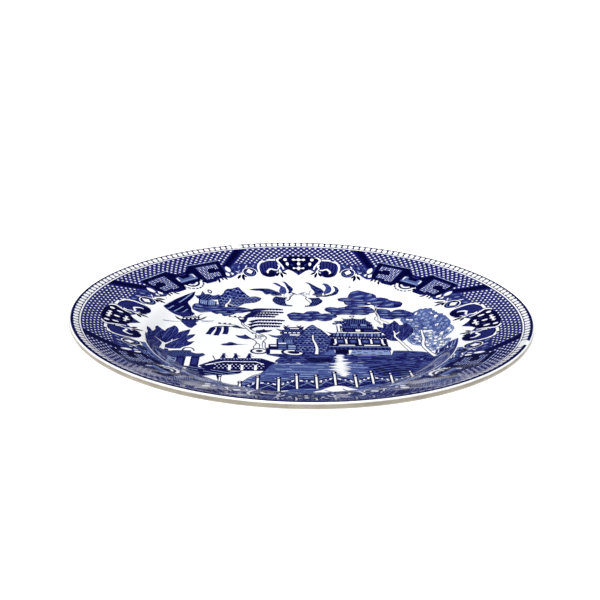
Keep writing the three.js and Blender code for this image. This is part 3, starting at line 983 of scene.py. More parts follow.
def draw_right_plant(s):
    """The broad-leaved plant right of the great hall."""
    s.motif = "right_plant_print"
    crown = path(
        44.5, 17, 45.5, 16, 48, 14.5, 48.5, 20, 49, 23.5, 50, 21.5, 52, 20.5, 54.5, 24, 55.8, 27.5, 57.5, 23,
        58, 19.5, 60, 20, 62.5, 24, 64, 19, 65, 15, 65.5, 12, 63.5, 5, 60, -1, 58, -4.5, 56, -5.5, 50.5, -5.5,
        48.5, -2.5, 48, 1, 47.5, 5, 45.5, 10, 44.5, 13,
    )
    veins = [
        path(53.5, 4, 54.5, 14, 55.5, 25), path(53.5, 4, 58.5, 12, 62, 21), path(53.3, 2, 50, 10, 48.6, 20),
        path(53.5, 1, 59, 3, 62.5, 6), path(53, -1, 50, 2, 48.8, 6),
    ]
    fan_tree(s, crown, veins, 63)
    trunk = path(53.5, 10, 53.8, 6, 53.3, 1, 54.5, -3, 56, -8, 57.4, -13, 59.5, -20)
    stem(s, trunk, (1.3, 2.8), (0.7, 1.9))
    s.line(path(54.2, 4.5, 56.8, 8.6), 0.9, None, 0.5)


def draw_pale_tree(s):
    """The pale netted tree at the right edge."""
    s.motif = "pale_tree_print"
    lobes = (
        path(60.5, 9, 64, 11, 67.5, 9, 68.5, 3, 67.6, -4, 66, -11, 62.5, -10, 60.8, -4, 61.4, 2),
        path(70.5, 5, 74, 8, 79, 7, 84, 9, 85.8, 4, 84.6, -1, 80, -4, 75, -6.5, 71.5, -5),
        path(69, -10, 73, -7.6, 78.5, -7, 82, -10, 80, -14.5, 75, -18, 70.5, -18),
    )
    for k, lobe in enumerate(lobes):
        laced(s, lobe, 65 + 10 * k, "pale", (None, None, None, "wash"), edge="wash")
    upper = path(
        61, 28, 62.5, 30.5, 66, 32.5, 69, 35.5, 71, 38, 74, 36, 77.5, 33, 79.5, 28, 83, 21.5, 85.2, 17,
        85.6, 14.5, 84.8, 10.5, 83.5, 7, 82, 5.5, 80, 8, 78, 11, 75.5, 13, 71, 13.5, 66, 12, 63, 18, 62, 23,
    )
    edge_lobes(s, smooth(upper), 1.9, "wash", None, 66)
    laced(s, upper, 67, "wash", (None, "pale", "pale", "wash"))
    trunk = path(70, 12, 69.5, 4, 69.3, -2, 67.6, -12, 70, -22, 72, -28)
    stem(s, trunk, (1.9, 3.0), (1.0, 2.0))
    for y in (-26, -34, -43, -52):
        edge = math.sqrt(86.5**2 - y**2)
        s.line(path(edge - 9, y + 2, edge - 5, y - 0.4, edge - 1.5, y + 0.6), 1.0, "wash", 0.5)
        s.line(path(edge - 12, y - 2.5, edge - 7, y - 4.2, edge - 2.5, y - 3.6), 0.7, "mid", 0.3)


def draw_gatehouse(s):
    """The gatehouse where the bridge starts."""
    s.motif = "gatehouse_print"
    s.hatch(s.lay(path(-71.5, -31, -62, -31, -62, -54, -70.5, -55), "pale"), 0, 2.4, 0.5, "wash", 70)
    for y in (-35.5, -41, -46.5):
        s.lay(box(-69.6, y - 1.1, -67.6, y + 1.1), "dark")
    roof = path(
        -79, -25, -74, -24.4, -70, -22.3, -60.5, -22.3, -59.6, -25, -57, -26.6, -53.5, -26, -52, -28.6,
        -55, -31.5, -72, -33, -77, -28,
    )
    mass(s, roof, "dark", [strokes(66, 1.3, "wash", 0.35, 0, 71)])
    for x0, x1 in ((-67, -62.4), (-59.4, -54.8)):
        s.lay(box(x0, -43.5, x1, -30.8), "dark")
        s.lay(box(x0 + 0.9, -41.5, x1 - 0.9, -33), "mid")
    s.lay(box(-62.4, -43.5, -59.4, -31), None)
    s.line(path(-62.4, -31, -62.4, -43.5), 0.5, "dark", curved=False)
    s.lay(box(-68, -46, -54.5, -43.5), "dark")


def draw_bridge(s):
    """The three-arched bridge, three plain walkers and the near rocks."""
    s.motif = "bridge_print"
    deck = path(
        -54.5, -42.5, -50, -38, -44.5, -33.6, -42, -32.6, -22, -32.6, -19, -34.8, -15, -38, -14, -39.5,
        -16, -40.5, -18, -44, -20.5, -49, -46, -49.5, -52, -46,
    )
    mass(s, deck, "dark", curved=False)
    s.line(path(-51, -42, -45.5, -39, -42, -37.2, -25, -37.2, -20.5, -40.5), 1.2, None, 0.9, curved=False)
    for k, y in enumerate((-41, -43.3, -45.6)):
        dots(s, [(x, y) for x in np.arange(-46 + 1.1 * (k % 2), -20, 2.2)], 0.55, None, n=6)
    for x in (-38.3, -31.8, -24.8):
        s.lay(box(x - 0.7, -48.4, x + 0.7, -41.5), None)
    dots(s, [(x, -34.4) for x in np.arange(-43, -21, 1.7)], 0.4, "pale", n=6)
    for x, lean in ((-42.5, 0.3), (-35.8, -0.2), (-28.8, 0.4)):
        s.lay(path(x - 1.5, -32.6, x + 1.5, -32.6, x + 0.8, -28, x - 0.6, -28), "dark")
        s.lay(oval(x + lean, -27, 1.0, 1.15), "mid")
        s.line(path(x + 0.6, -29, x + 2.6, -30.2), 0.6, "dark", 0.4)
        s.line(path(x - 0.6, -32.4, x - 0.8, -34.6), 0.7, "pale", 0.6)
        s.line(path(x + 0.7, -32.4, x + 1.0, -34.6), 0.7, "pale", 0.6)
    s.line(path(-48, -29.5, -46.2, -36), 0.6, "dark", 0.5)
    rocks = path(
        -60, -43, -56, -44, -50, -46.5, -46, -48, -42, -49, -36, -50, -32, -49.5, -31.5, -51.5, -35, -53.5,
        -43, -55, -48, -55, -52, -57, -55, -62, -55, -72, -60, -70, -62, -60, -61, -52,
    )
    mass(s, rocks, "dark", [strokes(30, 1.5, "night", 0.4, 1, 72), strokes(-20, 2.6, "pale", 0.2, 2, 73)])
    s.line(path(-44, -55, -43, -60.5, -41.8, -55), 1.2, "dark", 0.6)
    s.line(path(-42.5, -56, -42.6, -66, -42.2, -78), 1.6, "dark", 1.6)
    s.line(path(-42.5, -57, -42.6, -66, -42.2, -78), 0.7, None, 0.7)


FENCE = (
    (-42.5, -65, -80), (-32, -64, -80), (-23.3, -57, -74), (-12.7, -58.5, -74), (-3.6, -54, -71),
    (6.4, -55, -70.5), (15.8, -51, -67), (26.3, -54.5, -68.5), (35, -49.5, -64), (44.8, -52, -66),
    (55.5, -49, -63.5),
)


def draw_fence(s):
    """The zigzag fence, and the ground and the pale rock nearest the diner."""
    s.motif = "fence_print"
    tops = [(x, top - 3.2) for x, top, _ in FENCE]
    feet = [(x, foot + 1.2) for x, _, foot in FENCE]
    band = s.lay(tops + feet[::-1], "mid")
    s.hatch(band, 42, 2.0, 0.75, "dark", 74)
    s.hatch(band, -42, 2.0, 0.75, "dark", 75)
    for (x0, y0), (x1, y1), (_, f0), (_, f1) in zip(tops, tops[1:], feet, feet[1:]):
        s.line(path(x0, y0 - 1, x1, f1 + 1), 0.5, "pale", 0.4, within=band, curved=False)
        s.line(path(x0, f0 + 1, x1, y1 - 1), 0.5, "pale", 0.4, within=band, curved=False)
        for t in (0.25, 0.5, 0.75):
            s.lay(oval(x0 + (x1 - x0) * t, y0 + (y1 - y0) * t - 3.4, 0.55, 0.8, n=8), None, within=band)
    s.line(tops, 1.3, "dark", curved=False)
    s.line([(x, y - 0.4) for x, y in tops], 0.5, "pale", curved=False)
    s.line(feet, 1.2, "dark", curved=False)
    ground = [(x, foot - 0.6) for x, _, foot in FENCE] + path(
        57, -66, 40, -73, 26, -77, 4, -79, -16, -80.5, -34, -79.5, -43, -76,
    )
    mass(s, ground, "wash", [strokes(-4, 1.5, "mid", 0.45, 1, 77)], curved=False)
    for x, top, foot in FENCE:
        s.line(path(x, top, x, foot), 2.3, "night", curved=False)
        s.line(path(x, top - 0.5, x, foot + 0.5), 1.0, None, curved=False)
        dots(s, ((x - 2, top - 7), (x + 2, top - 7)), 0.75, None)
        s.lay(oval(x, top + 1.0, 1.5), "dark")
        s.lay(oval(x - 0.2, top + 1.2, 0.6), None)
    rock = path(
        2, -76, 5, -73, 8, -71.5, 12, -68, 16, -66, 20, -66.5, 24, -69, 27, -70.5, 29, -74, 26, -79,
        14, -81, 5, -80,
    )
    mass(s, rock, None, edge="dark", width=0.8)
    s.line(path(10, -72, 14, -74.5, 13, -78), 0.7, "wash", 0.3)
    s.line(path(19, -70, 21.5, -73.5, 20, -77.5), 0.7, "wash", 0.3)


def draw_near_ground(s):
    """The streaked ground along the near edge of the landscape, up the wall of the well."""
    s.motif = "near_ground_print"
    angles = np.radians(np.arange(196, 351, 2.0))
    wavy = [76.5 + 1.6 * math.sin(7 * a) + 0.9 * math.sin(17 * a) for a in angles]
    outer = [(LANDSCAPE_RADIUS * math.cos(a), LANDSCAPE_RADIUS * math.sin(a)) for a in angles]
    inner = [(r * math.cos(a), r * math.sin(a)) for a, r in zip(angles, wavy)]
    band = s.lay(outer + inner[::-1], "mid")
    rng = random.Random(80)
    for _ in range(420):
        start, reach = 196 + 150 * rng.random(), rng.uniform(2.5, 7)
        r, lift = rng.uniform(76, 87), rng.uniform(-1.2, 1.2)
        run = [around(0, 0, r + lift * t, r + lift * t, start + reach * t) for t in (0, 0.35, 0.7, 1)]
        s.line(
            run, rng.uniform(0.5, 1.0), rng.choice(("dark", "dark", "night", "pale", "wash", None)), 0.3,
            band, False,
        )
    for angle in np.arange(216, 330, 9.5):
        a = math.radians(angle)
        x, y = 81.5 * math.cos(a), 81.5 * math.sin(a)
        for reach, ink in ((4.4, "dark"), (3.4, None), (2.5, "dark"), (1.6, "pale")):
            curl = [
                (x + reach * math.cos(a + t), y + 0.8 * reach * math.sin(a + t))
                for t in np.linspace(1.7, 4.6, 8)
            ]
            s.line(curl, 0.8, ink, 0.5, within=band, curved=False)


def draw_right_bank(s):
    """The shaded bank between the far hills and the right edge."""
    s.motif = "right_bank_print"
    bank = path(
        54, -22, 60, -20.5, 66, -21, 73, -24, 78, -22, 82, -26, 80, -34, 76, -42, 70, -51, 63, -60, 58, -62,
        60, -54, 61, -46, 60, -40, 56, -34, 54, -28,
    )
    mass(s, bank, "mid", [strokes(-8, 2.0, "dark", 0.45, 0.8, 82), strokes(38, 3.4, "pale", 0.22, 1.6, 83)])


def landscape():
    """The sheet with the whole landscape of the well."""
    s = Sheet(disc(LANDSCAPE_RADIUS))
    for draw in (
        draw_near_ground, draw_right_bank, draw_lake, draw_hills, draw_island, draw_clouds, draw_pale_tree,
        draw_cloud_tree, draw_great_hall, draw_small_house, draw_fir, draw_willow, draw_birds, draw_boat,
        draw_gatehouse, draw_left_tree, draw_right_plant, draw_bridge, draw_fence,
    ):
        draw(s)
    return s


# ---- the border, drawn as one eighth in degrees from a shield and radius, then mirrored round ----
def wedge(quarter, side):
    """Places degrees and radius of one eighth of the border on the plate."""

    def place(degrees, radius):
        angle = math.radians(QUARTER * quarter + side * degrees)
        return radius * math.cos(angle), radius * math.sin(angle)

    return place


def draw_net(s):
    """The ground of the border: a net of small white lozenges, down to its scalloped inner edge."""
    s.motif = "border_net_print"
    net = s.lay(disc(BAND_INNER), "mid")
    s.place = wedge(0, 1)
    for row in range(13):
        radius = 119.4 - 1.87 * row
        for k in range(BEADS):
            a = BEAD_PITCH * (k + 0.5 * (row % 2))
            s.lay(path(a - 0.46, radius, a, radius - 0.66, a + 0.46, radius, a, radius + 0.66), None, net)
            s.lay(
                path(a + 0.56, radius, a + 0.94, radius - 0.6, a + 1.32, radius, a + 0.94, radius + 0.6),
                "dark", net,
            )
    edge = path(
        0, 94, 2, 95.4, 4.5, 97, 6, 95, 8.6, 95, 10.6, 91, 13, 90.4, 15, 91, 16.2, 96, 17, 97, 18.2, 92,
        20, 91.4, 22, 92.4, 24, 96.4, 25.4, 97, 26.4, 94, 28.4, 92.6, 30.4, 93.6, 32, 94.6, 35, 92,
        39.6, 91.6, 40.6, 96, 45, 96,
    )
    folded = [45 - abs(k / 2 % 90 - 45) for k in range(720)]
    s.lay([(k / 2, float(np.interp(away, *zip(*edge)))) for k, away in enumerate(folded)], None)
    # the near side, which is seen almost edge on, has a streaked ground down to its inner edge
    near = s.lay([(k, 98) for k in range(198, 341, 2)] + [(k, 88.2) for k in range(340, 197, -2)], "wash")
    rng = random.Random(90)
    for _ in range(520):
        d, r = rng.uniform(198, 339), rng.uniform(88.5, 97)
        ink = rng.choice(("dark", "dark", "mid", "mid", "pale", None))
        s.line(
            path(d, r, d + rng.uniform(1, 2.6), r + rng.uniform(-1, 1)), rng.uniform(0.5, 1.1), ink, 0.3,
            near, False,
        )
    s.place = None


def petal(s, d0, r0, d1, r1, width, ink):
    """A leaf of the border from one point to another."""
    (x0, y0), (x1, y1) = s.place(d0, r0), s.place(d1, r1)
    place, s.place = s.place, None
    s.lay(leaf(x0, y0, x1, y1, width), ink)
    s.place = place


def draw_eighth(s):
    """Leaf scroll, flowers, coin, fret and divider of one eighth."""
    s.motif = "border_scroll_print"
    # shaded ground between the scroll and the fret, and beside the shield
    s.lay(
        smooth(
            path(
                15.2, 104, 18, 105.6, 22, 106.4, 26.6, 106.6, 30, 104, 30, 95, 26.4, 94, 24, 96.6, 22, 92.6,
                20, 91.2, 17.6, 92.4, 16, 98,
            )
        ),
        "mid",
    )
    for d, r, lean, ink in (
        (17, 103, 1.2, "pale"), (18.6, 104.4, 0.9, "dark"), (19.8, 102.8, 1.5, None),
        (21.4, 104.6, 1.0, "night"), (22.6, 103, 1.4, "pale"), (23.8, 101.4, 1.2, "dark"),
        (24.8, 103.6, 1.3, "wash"), (25.6, 100, 1.2, "night"), (17, 100.4, 0.9, "dark"),
        (23.4, 98.8, 1.0, "pale"), (21.8, 101.4, 0.8, "dark"),
    ):
        petal(s, d - 0.6, r + lean, d + 0.7, r - lean, 0.9, ink)
    s.lay(smooth(path(5.2, 98, 6.2, 95.4, 8.4, 95, 8.6, 100, 7.4, 103)), "mid")
    # divider between the two kinds of panel
    s.line(path(19, 121.8, 21.3, 116.4, 23.8, 111, 27.2, 104.6), 3.2, "dark", 3.2)
    s.line(path(19.2, 121.6, 21.5, 116.4, 24, 111, 27, 105.4), 1.9, "night", 1.9)
    # leaf scroll and its white margin
    scroll = smooth(
        path(
            7.8, 105.4, 8.4, 107, 10.6, 107.1, 13, 106.2, 14.4, 103.8, 15.1, 100.4, 15.3, 96.4, 15.2, 93.4,
            14.2, 90.8, 12.5, 89.4, 10.6, 89.6, 9.4, 91.2, 8.9, 93.4, 9.6, 95.6, 10.8, 97.4, 9.6, 98.2,
            8.4, 98.2, 7.7, 101,
        )
    )
    s.lay([(d + (0.75 if d > 11 else 0), r + (0.5 if d > 11 else 0)) for d, r in scroll], None)
    shape = s.lay(scroll, "dark")
    for k in range(6):
        d = 8.5 + 1.15 * k
        s.line(
            path(d, 106.6 - 0.12 * k * k, d + 0.35, 102, d + 0.5, 98 - 0.9 * k), 0.75, "mid", 0.4,
            within=shape,
        )
    s.lay(
        smooth(path(9.6, 94.4, 11, 95.4, 12.4, 93.6, 14, 94.4, 14.2, 91.8, 12.4, 90.2, 10.4, 90.6)),
        "night", within=shape,
    )
    s.line(path(8.2, 96.9, 9.6, 97.4, 10.6, 98.6, 11.3, 98.6), 1.2, None, 0.9)
    s.line(path(10.9, 98.6, 11.9, 97, 12.5, 95.4, 12.4, 93.8), 1.3, None, 0.5)
    s.line(path(7.6, 103, 7.3, 100.6, 7.9, 98.6, 7.2, 96.8), 0.9, None, 0.4)
    s.lay(path(8.4, 107.2, 11.5, 107.4, 11.4, 108.9, 8.3, 108.8), None)
    s.lay(path(12.2, 106.2, 13.4, 105.8, 14.2, 107, 12.8, 107.7), None)
    # flowers
    for core, tips in (
        ((7.4, 96), ((4.8, 91.4), (6.8, 87.9), (9.5, 89.6))),
        ((23, 96), ((21.9, 91.2), (23.6, 88), (26, 90.4))),
    ):
        for tip in tips:
            petal(s, core[0] * 0.8 + tip[0] * 0.2, core[1] * 0.8 + tip[1] * 0.2, *tip, 1.9, "night")
        s.lay(
            path(
                core[0] - 0.6, core[1] - 0.4, core[0], core[1] - 1.9, core[0] + 0.6, core[1] - 0.4,
                core[0], core[1] + 1.4,
            ),
            None,
        )
    petal(s, 22.6, 96.6, 21.4, 99.6, 0.8, None)
    petal(s, 23.6, 96.8, 24.8, 99.4, 0.8, None)
    # coin
    s.lay(oval(19.5, 96.2, 2.95, 5.3), None)
    s.lay(oval(19.5, 96.2, 2.6, 4.7), "dark")
    s.lay(oval(19.5, 96.3, 2.0, 3.7), "wash")
    s.lay(oval(19.5, 96.8, 1.75, 3.2), "dark")
    s.lay(path(18.1, 97, 19.4, 100.2, 20.9, 97, 19.4, 94.4), None)
    # petals beside the fret
    petal(s, 27.2, 98.6, 27.2, 105.4, 3.4, None)
    for outline in (
        path(26, 97, 27, 98.6, 27.6, 96.6, 26.8, 95.4), path(27.8, 97.4, 29, 99.4, 29.4, 96.4, 28.4, 94.8),
    ):
        s.lay(smooth(outline), None)
    petal(s, 27.2, 99.6, 27.2, 95.2, 0.8, "night")
    # fret block
    s.motif = "border_fret_print"
    s.lay(
        path(
            28.6, 111.9, 40.6, 111.9, 40.9, 110, 42.6, 107.6, 45, 106.2, 45, 95.6, 40.8, 95.6, 39.7, 91.5,
            35.2, 91.7, 34.4, 93.9, 31, 93.9, 29.6, 95.4, 28.9, 99,
        ),
        "night",
    )
    s.line(path(28.4, 112.3, 40.8, 112.3), 0.5, "pale", curved=False)
    for d0, r0, d1, r1 in ((30.2, 104, 35.4, 109), (35, 95.2, 38.4, 109), (31, 96.6, 35.4, 101)):
        panel = s.lay(box(d0, r0, d1, r1), "mid")
        for k in range(int((d1 - d0) / 0.8) + 1):
            for r in np.arange(r0, r1, 1.5):
                d = d0 + 0.8 * k + 0.25
                s.lay(box(d, r + 0.3, d + 0.4, r + 1.2), ("pale", None)[(k + int(r)) % 2], panel)
    s.lay(box(31.6, 100.8, 34.6, 105.4), "night")
    s.lay(box(31.6, 94.2, 35, 96.8), "dark")
    s.lay(box(35.2, 92.2, 39, 94.6), "dark")
    for d0, r0, d1, r1 in ((30.8, 94.4, 30.2, 91), (33.2, 94, 34.6, 89.4), (32.2, 94, 31.8, 91.6)):
        petal(s, d0, r0, d1, r1, 1.5, "night")
    # C scroll between two frets
    s.motif = "border_fringe_print"
    s.lay(
        path(41, 98.4, 45, 98.4, 45, 101.6, 43.2, 101.6, 43.2, 102.6, 42.8, 104.2, 41.8, 104.6, 41, 103.6),
        "wash",
    )
    s.lay(path(41.5, 99, 45, 99, 45, 99.7, 41.5, 99.7), "pale")
    s.line(path(41.5, 100.4, 41.6, 103.4, 42.4, 103.6), 0.6, None, 0.4)
    s.line(path(43.6, 105.4, 45, 104.8), 0.6, "mid", 0.6)


def draw_fringe(s):
    """The half-round fringe in the middle of the two frets."""
    s.motif = "border_fringe_print"
    for reach, ink in ((8.1, "dark"), (7.0, None), (5.4, "dark"), (4.0, None), (2.7, "mid"), (1.4, "night")):
        arc = [
            (
                45 + math.degrees(reach * 1.05 * math.cos(math.radians(a)) / 96),
                96.8 + reach * math.sin(math.radians(a)),
            )
            for a in range(180, 361, 12)
        ]
        s.lay(arc, ink)
    for k in range(9):
        a = math.radians(188 + 20.5 * k)
        s.line(
            [(45 + math.degrees(d * math.cos(a) / 96), 96.8 + d * math.sin(a)) for d in (6.8, 8.3)], 0.6,
            None, 0.4,
        )
    s.lay(box(40.9, 95.6, 49.1, 98.2), "night")


def draw_shield(s):
    """The dark shield at the middle of each quarter."""
    s.motif = "border_shield_print"
    half = path(
        0, 111.4, 2.6, 111.5, 4.2, 110.6, 5.6, 110.4, 6.8, 109, 7.2, 107, 6.6, 104.6, 6, 102, 5.4, 99.4,
        4.2, 97.6, 3, 96, 1.6, 95, 0, 94.8,
    )
    full = half + [(-d, r) for d, r in half[-2:0:-1]]
    s.lay(smooth(path(-3, 96.2, 0, 96, 3, 96.2, 1.5, 93.4, 0, 90.4, -1.5, 93.4)), "mid")
    s.line(path(0, 94.6, 0, 91), 1.0, "night", 0.5)
    s.lay(smooth(full), "night")
    for r0, r1, width in ((106.2, 109.4, 1.3), (101.8, 105.2, 1.2), (96.4, 100.4, 1.2)):
        s.lay(oval(0, (r0 + r1) / 2, width / 2, (r1 - r0) / 2), None)
    s.lay(box(-2.4, 107.2, 2.4, 108.2), None)
    s.lay(box(-2.2, 98.2, 2.2, 99.1), None)
    for side in (1, -1):
        for d, r0, r1, width in (
            (1.8, 106.6, 109.1, 1.0), (4.8, 106.4, 109.4, 1.3), (4.2, 101.4, 105.2, 1.1),
            (1.8, 97.7, 99.8, 0.9),
        ):
            s.lay(oval(side * d, (r0 + r1) / 2, width / 2, (r1 - r0) / 2, n=12), None)
        s.line([(side * 2.6, 103.2), (side * 2.4, 101)], 0.8, "mid", 0.6)
        curl = path(6, 110.6, 7.2, 109.2, 7.7, 107.2, 7.2, 105, 6.6, 102.6, 6.1, 100.2, 5.9, 97.4)
        s.line([(side * d, r) for d, r in curl], 0.9, None, 0.6)


def border():
    """The sheet with the whole border."""
    s = Sheet(disc(BAND_INNER))
    draw_net(s)
    for quarter in range(4):
        for side in (1, -1):
            s.place = wedge(quarter, side)
            draw_eighth(s)
        s.place = wedge(quarter, 1)
        draw_fringe(s)
        draw_shield(s)
    s.place = None
    return s


def edge_band():
    """The beaded band on the edge of the rim, with the two places where it has worn away."""
    s = Sheet(disc(BAND_OUTER, BAND_POINTS))
    s.motif = "edge_beads_print"
    for radius in np.arange(BAND_OUTER, RIM_END - 1, -0.25):
        s.lay(disc(radius, BAND_POINTS), "dark")
    s.lay(disc(BAND_INNER + BAND_LINE, BAND_POINTS), "dark")
    s.lay(disc(BAND_INNER + BAND_BARE, BAND_POINTS), None)
    s.place = wedge(0, 1)
    low, high = BAND_INNER + BAND_LINE, BAND_OUTER - 1.65
    for k in range(BEADS):
        a = BEAD_PITCH * k
        s.lay(smooth(box(a - 0.6, low, a + 0.6, high), corner=100), None)
    for middle, half in ((-26.1, 1.5), (110.3, 1.0)):
        worn = path(
            -1, low - 0.5, 0, low - 0.2, 1, low - 0.5, 1.3, low + 1.2, 0.9, BAND_OUTER + 0.1, 0,
            BAND_OUTER + 0.2,
            -0.9, BAND_OUTER + 0.1, -1.2, low + 1,
        )
        s.lay(smooth([(middle + d * half, r) for d, r in worn]), None)
    s.place = None
    s.lay(disc(BAND_INNER, BAND_POINTS), None)
    return s


# ---- finishes ----
def shader(name, color, roughness):
    """A material, its nodes, its links and its main shader."""
    material = bpy.data.materials.new(name)
    material.use_nodes = True
    tree = material.node_tree
    main = tree.nodes["Principled BSDF"]
    main.inputs["Base Color"].default_value = (*color, 1)
    main.inputs["Roughness"].default_value = roughness
    main.inputs["IOR"].default_value = 1.5
    return material, tree.nodes, tree.links, main


def noise(nodes, links, scale, detail):
    """Noise over the plate itself, so that it stays put whatever looks at it."""
    place = nodes.new("ShaderNodeTexCoord")
    made = nodes.new("ShaderNodeTexNoise")
    made.inputs["Scale"].default_value = scale
    made.inputs["Detail"].default_value = detail
    links.new(place.outputs["Object"], made.inputs["Vector"])
    return made.outputs["Fac"]


def blended(nodes, links, factor, low, high, color_low, color_high):
    """A colour that runs from one to another as a factor goes from low to high."""
    ramp = nodes.new("ShaderNodeValToRGB")
    ramp.color_ramp.elements[0].position = low
    ramp.color_ramp.elements[0].color = (*color_low, 1)
    ramp.color_ramp.elements[1].position = high
    ramp.color_ramp.elements[1].color = (*color_high, 1)
    links.new(factor, ramp.inputs["Fac"])
    return ramp.outputs["Color"]


def mixed(nodes, links, factor, first, second):
    """Runs from a first colour to a second by a factor. The second may be a plain colour."""
    mix = nodes.new("ShaderNodeMix")
    mix.data_type = "RGBA"
    links.new(factor, mix.inputs["Factor"])
    links.new(first, mix.inputs["A"])
    if isinstance(second, tuple):
        mix.inputs["B"].default_value = (*second, 1)
    else:
        links.new(second, mix.inputs["B"])
    return mix.outputs["Result"]


def bumped(nodes, links, main, height, distance, strength=1.0):
    """Raises the surface by a height field, a distance in metres."""
    bump = nodes.new("ShaderNodeBump")
    bump.inputs["Strength"].default_value = strength
    bump.inputs["Distance"].default_value = distance
    links.new(height, bump.inputs["Height"])
    links.new(bump.outputs["Normal"], main.inputs["Normal"])


def ink_finish(name, color, stipple):
    """Transfer-printed ink under glaze: pooled where it lay thick, stippled where it lay thin."""
    material, nodes, links, main = shader(name, color, 0.06)
    main.inputs["Specular IOR Level"].default_value = 0.2
    lighter = tuple(min(1.0, c * (1 + 3 * stipple)) for c in color)
    deeper = tuple(c * (1 - 2 * stipple) for c in color)
    fine = blended(nodes, links, noise(nodes, links, 1500, 3), 0.42, 0.62, deeper, lighter)
    pooled = noise(nodes, links, 120, 2)
    links.new(mixed(nodes, links, pooled, fine, tuple(color)), main.inputs["Base Color"])
    return material


IRON_SPECK = (0.16, 0.13, 0.1)


def glaze_finish(name, color, warm, specks):
    """Clear glaze over white china, with a slow ripple, a faint tint and a few iron specks."""
    material, nodes, links, main = shader(name, color, 0.07)
    main.inputs["Specular IOR Level"].default_value = 0.5
    tint = blended(nodes, links, noise(nodes, links, 26, 2), 0.3, 0.7, color, warm)
    spot = nodes.new("ShaderNodeMapRange")
    spot.inputs["From Min"].default_value = specks
    spot.inputs["From Max"].default_value = specks + 0.02
    links.new(noise(nodes, links, 240, 0), spot.inputs["Value"])
    specked = mixed(nodes, links, spot.outputs["Result"], tint, IRON_SPECK)
    links.new(specked, main.inputs["Base Color"])
    bumped(nodes, links, main, noise(nodes, links, 70, 1), 0.0001, 0.25)
    return material


def paint_lip_shade(material, lip, low, high, upright):
    """Runs a glaze into the painted shade of the lip between two heights, or two radii, in millimetres."""
    nodes, links = material.node_tree.nodes, material.node_tree.links
    main = nodes["Principled BSDF"]
    face_color = main.inputs["Base Color"].links[0].from_socket
    place = nodes.new("ShaderNodeTexCoord")
    ramp = nodes.new("ShaderNodeMapRange")
    ramp.inputs["From Min"].default_value = low * MM
    ramp.inputs["From Max"].default_value = high * MM
    if upright:
        parts = nodes.new("ShaderNodeSeparateXYZ")
        links.new(place.outputs["Object"], parts.inputs["Vector"])
        links.new(parts.outputs["Z"], ramp.inputs["Value"])
    else:
        flat = nodes.new("ShaderNodeVectorMath")
        flat.operation = "MULTIPLY"
        flat.inputs[1].default_value = (1, 1, 0)
        reach = nodes.new("ShaderNodeVectorMath")
        reach.operation = "LENGTH"
        links.new(place.outputs["Object"], flat.inputs[0])
        links.new(flat.outputs["Vector"], reach.inputs[0])
        links.new(reach.outputs["Value"], ramp.inputs["Value"])
    # painted shade: the dark lip colour, mottled a little, stands in for the shade under the lip round
    mottled = blended(nodes, links, noise(nodes, links, 90, 3), 0.35, 0.65, lip, tuple(c * 1.35 for c in lip))
    tinted = mixed(nodes, links, ramp.outputs["Result"], face_color, mottled)
    links.new(tinted, main.inputs["Base Color"])


def paper_finish(name, color, glow, shine):
    """Matt paper that gives off some light by itself."""
    material, _, _, main = shader(name, color, 0.9)
    main.inputs["Specular IOR Level"].default_value = shine
    main.inputs["Emission Color"].default_value = (1, 1, 1, 1)
    main.inputs["Emission Strength"].default_value = glow
    return material


def biscuit_finish(name, color):
    """The bare fired clay of the foot, slightly gritty and stained where it has stood."""
    material, nodes, links, main = shader(name, color, 0.7)
    worn = tuple(c * k for c, k in zip(color, (0.72, 0.66, 0.58)))
    grit = noise(nodes, links, 900, 4)
    links.new(
        blended(nodes, links, noise(nodes, links, 60, 5), 0.4, 0.75, color, worn),
        main.inputs["Base Color"],
    )
    bumped(nodes, links, main, grit, 0.0001)
    return material


INK_TONES = ("night", "dark", "mid", "wash", "pale")


def ink_finishes():
    """One material for each tone of ink, made once."""
    ink = bpy.context.scene.china_ink
    return [
        bpy.data.materials.get(f"ink_{tone}") or ink_finish(f"ink_{tone}", getattr(ink, tone), ink.stipple)
        for tone in INK_TONES
    ]


# ---- settings ----
def color_setting(name, default, text):
    """A colour that a user can change."""
    return FloatVectorProperty(
        name=name, description=text, subtype="COLOR", size=3, min=0, max=1, default=default,
    )


class ChinaInk(bpy.types.PropertyGroup):
    """Colours of the print."""

    night: color_setting("Deepest ink", (0.0007, 0.001, 0.032), "Solid ink in shadows and doorways")
    dark: color_setting("Dark ink", (0.0028, 0.0035, 0.065), "Ink of outlines and roofs")
    mid: color_setting("Middle ink", (0.021, 0.026, 0.15), "Ink of leaves and the border's ground")
    wash: color_setting("Wash ink", (0.068, 0.1, 0.28), "Thin ink of the water")
    pale: color_setting("Pale ink", (0.21, 0.28, 0.49), "Thinnest ink of highlights")
    stipple: FloatProperty(
        name="Stipple", description="How much the ink varies from dot to dot", default=0.14, min=0, max=0.5,
    )


class ChinaBody(bpy.types.PropertyGroup):
    """Colours and fineness of the china."""

    white: color_setting("Glaze", (0.9, 0.915, 0.94), "Glazed china on the face")
    # painted shade: the back glaze is darker and warmer than the face glaze, standing in for the shade on the
    # underside
    back: color_setting("Back glaze", (0.84, 0.82, 0.76), "Glazed china on the back, which shows warmer")
    # painted shade: this dark beige is the shade on the underside of the lip round, painted into the glaze
    # colour; it is not clay showing through
    lip: color_setting("Lip", (0.25, 0.225, 0.175), "Thin glaze under the lip, where the clay shows")
    clay: color_setting("Biscuit", (0.66, 0.6, 0.5), "Bare fired clay of the foot ring")
    flats: IntProperty(
        name="Flats", description="Flats around each turned surface", default=384, min=48, max=1024,
    )


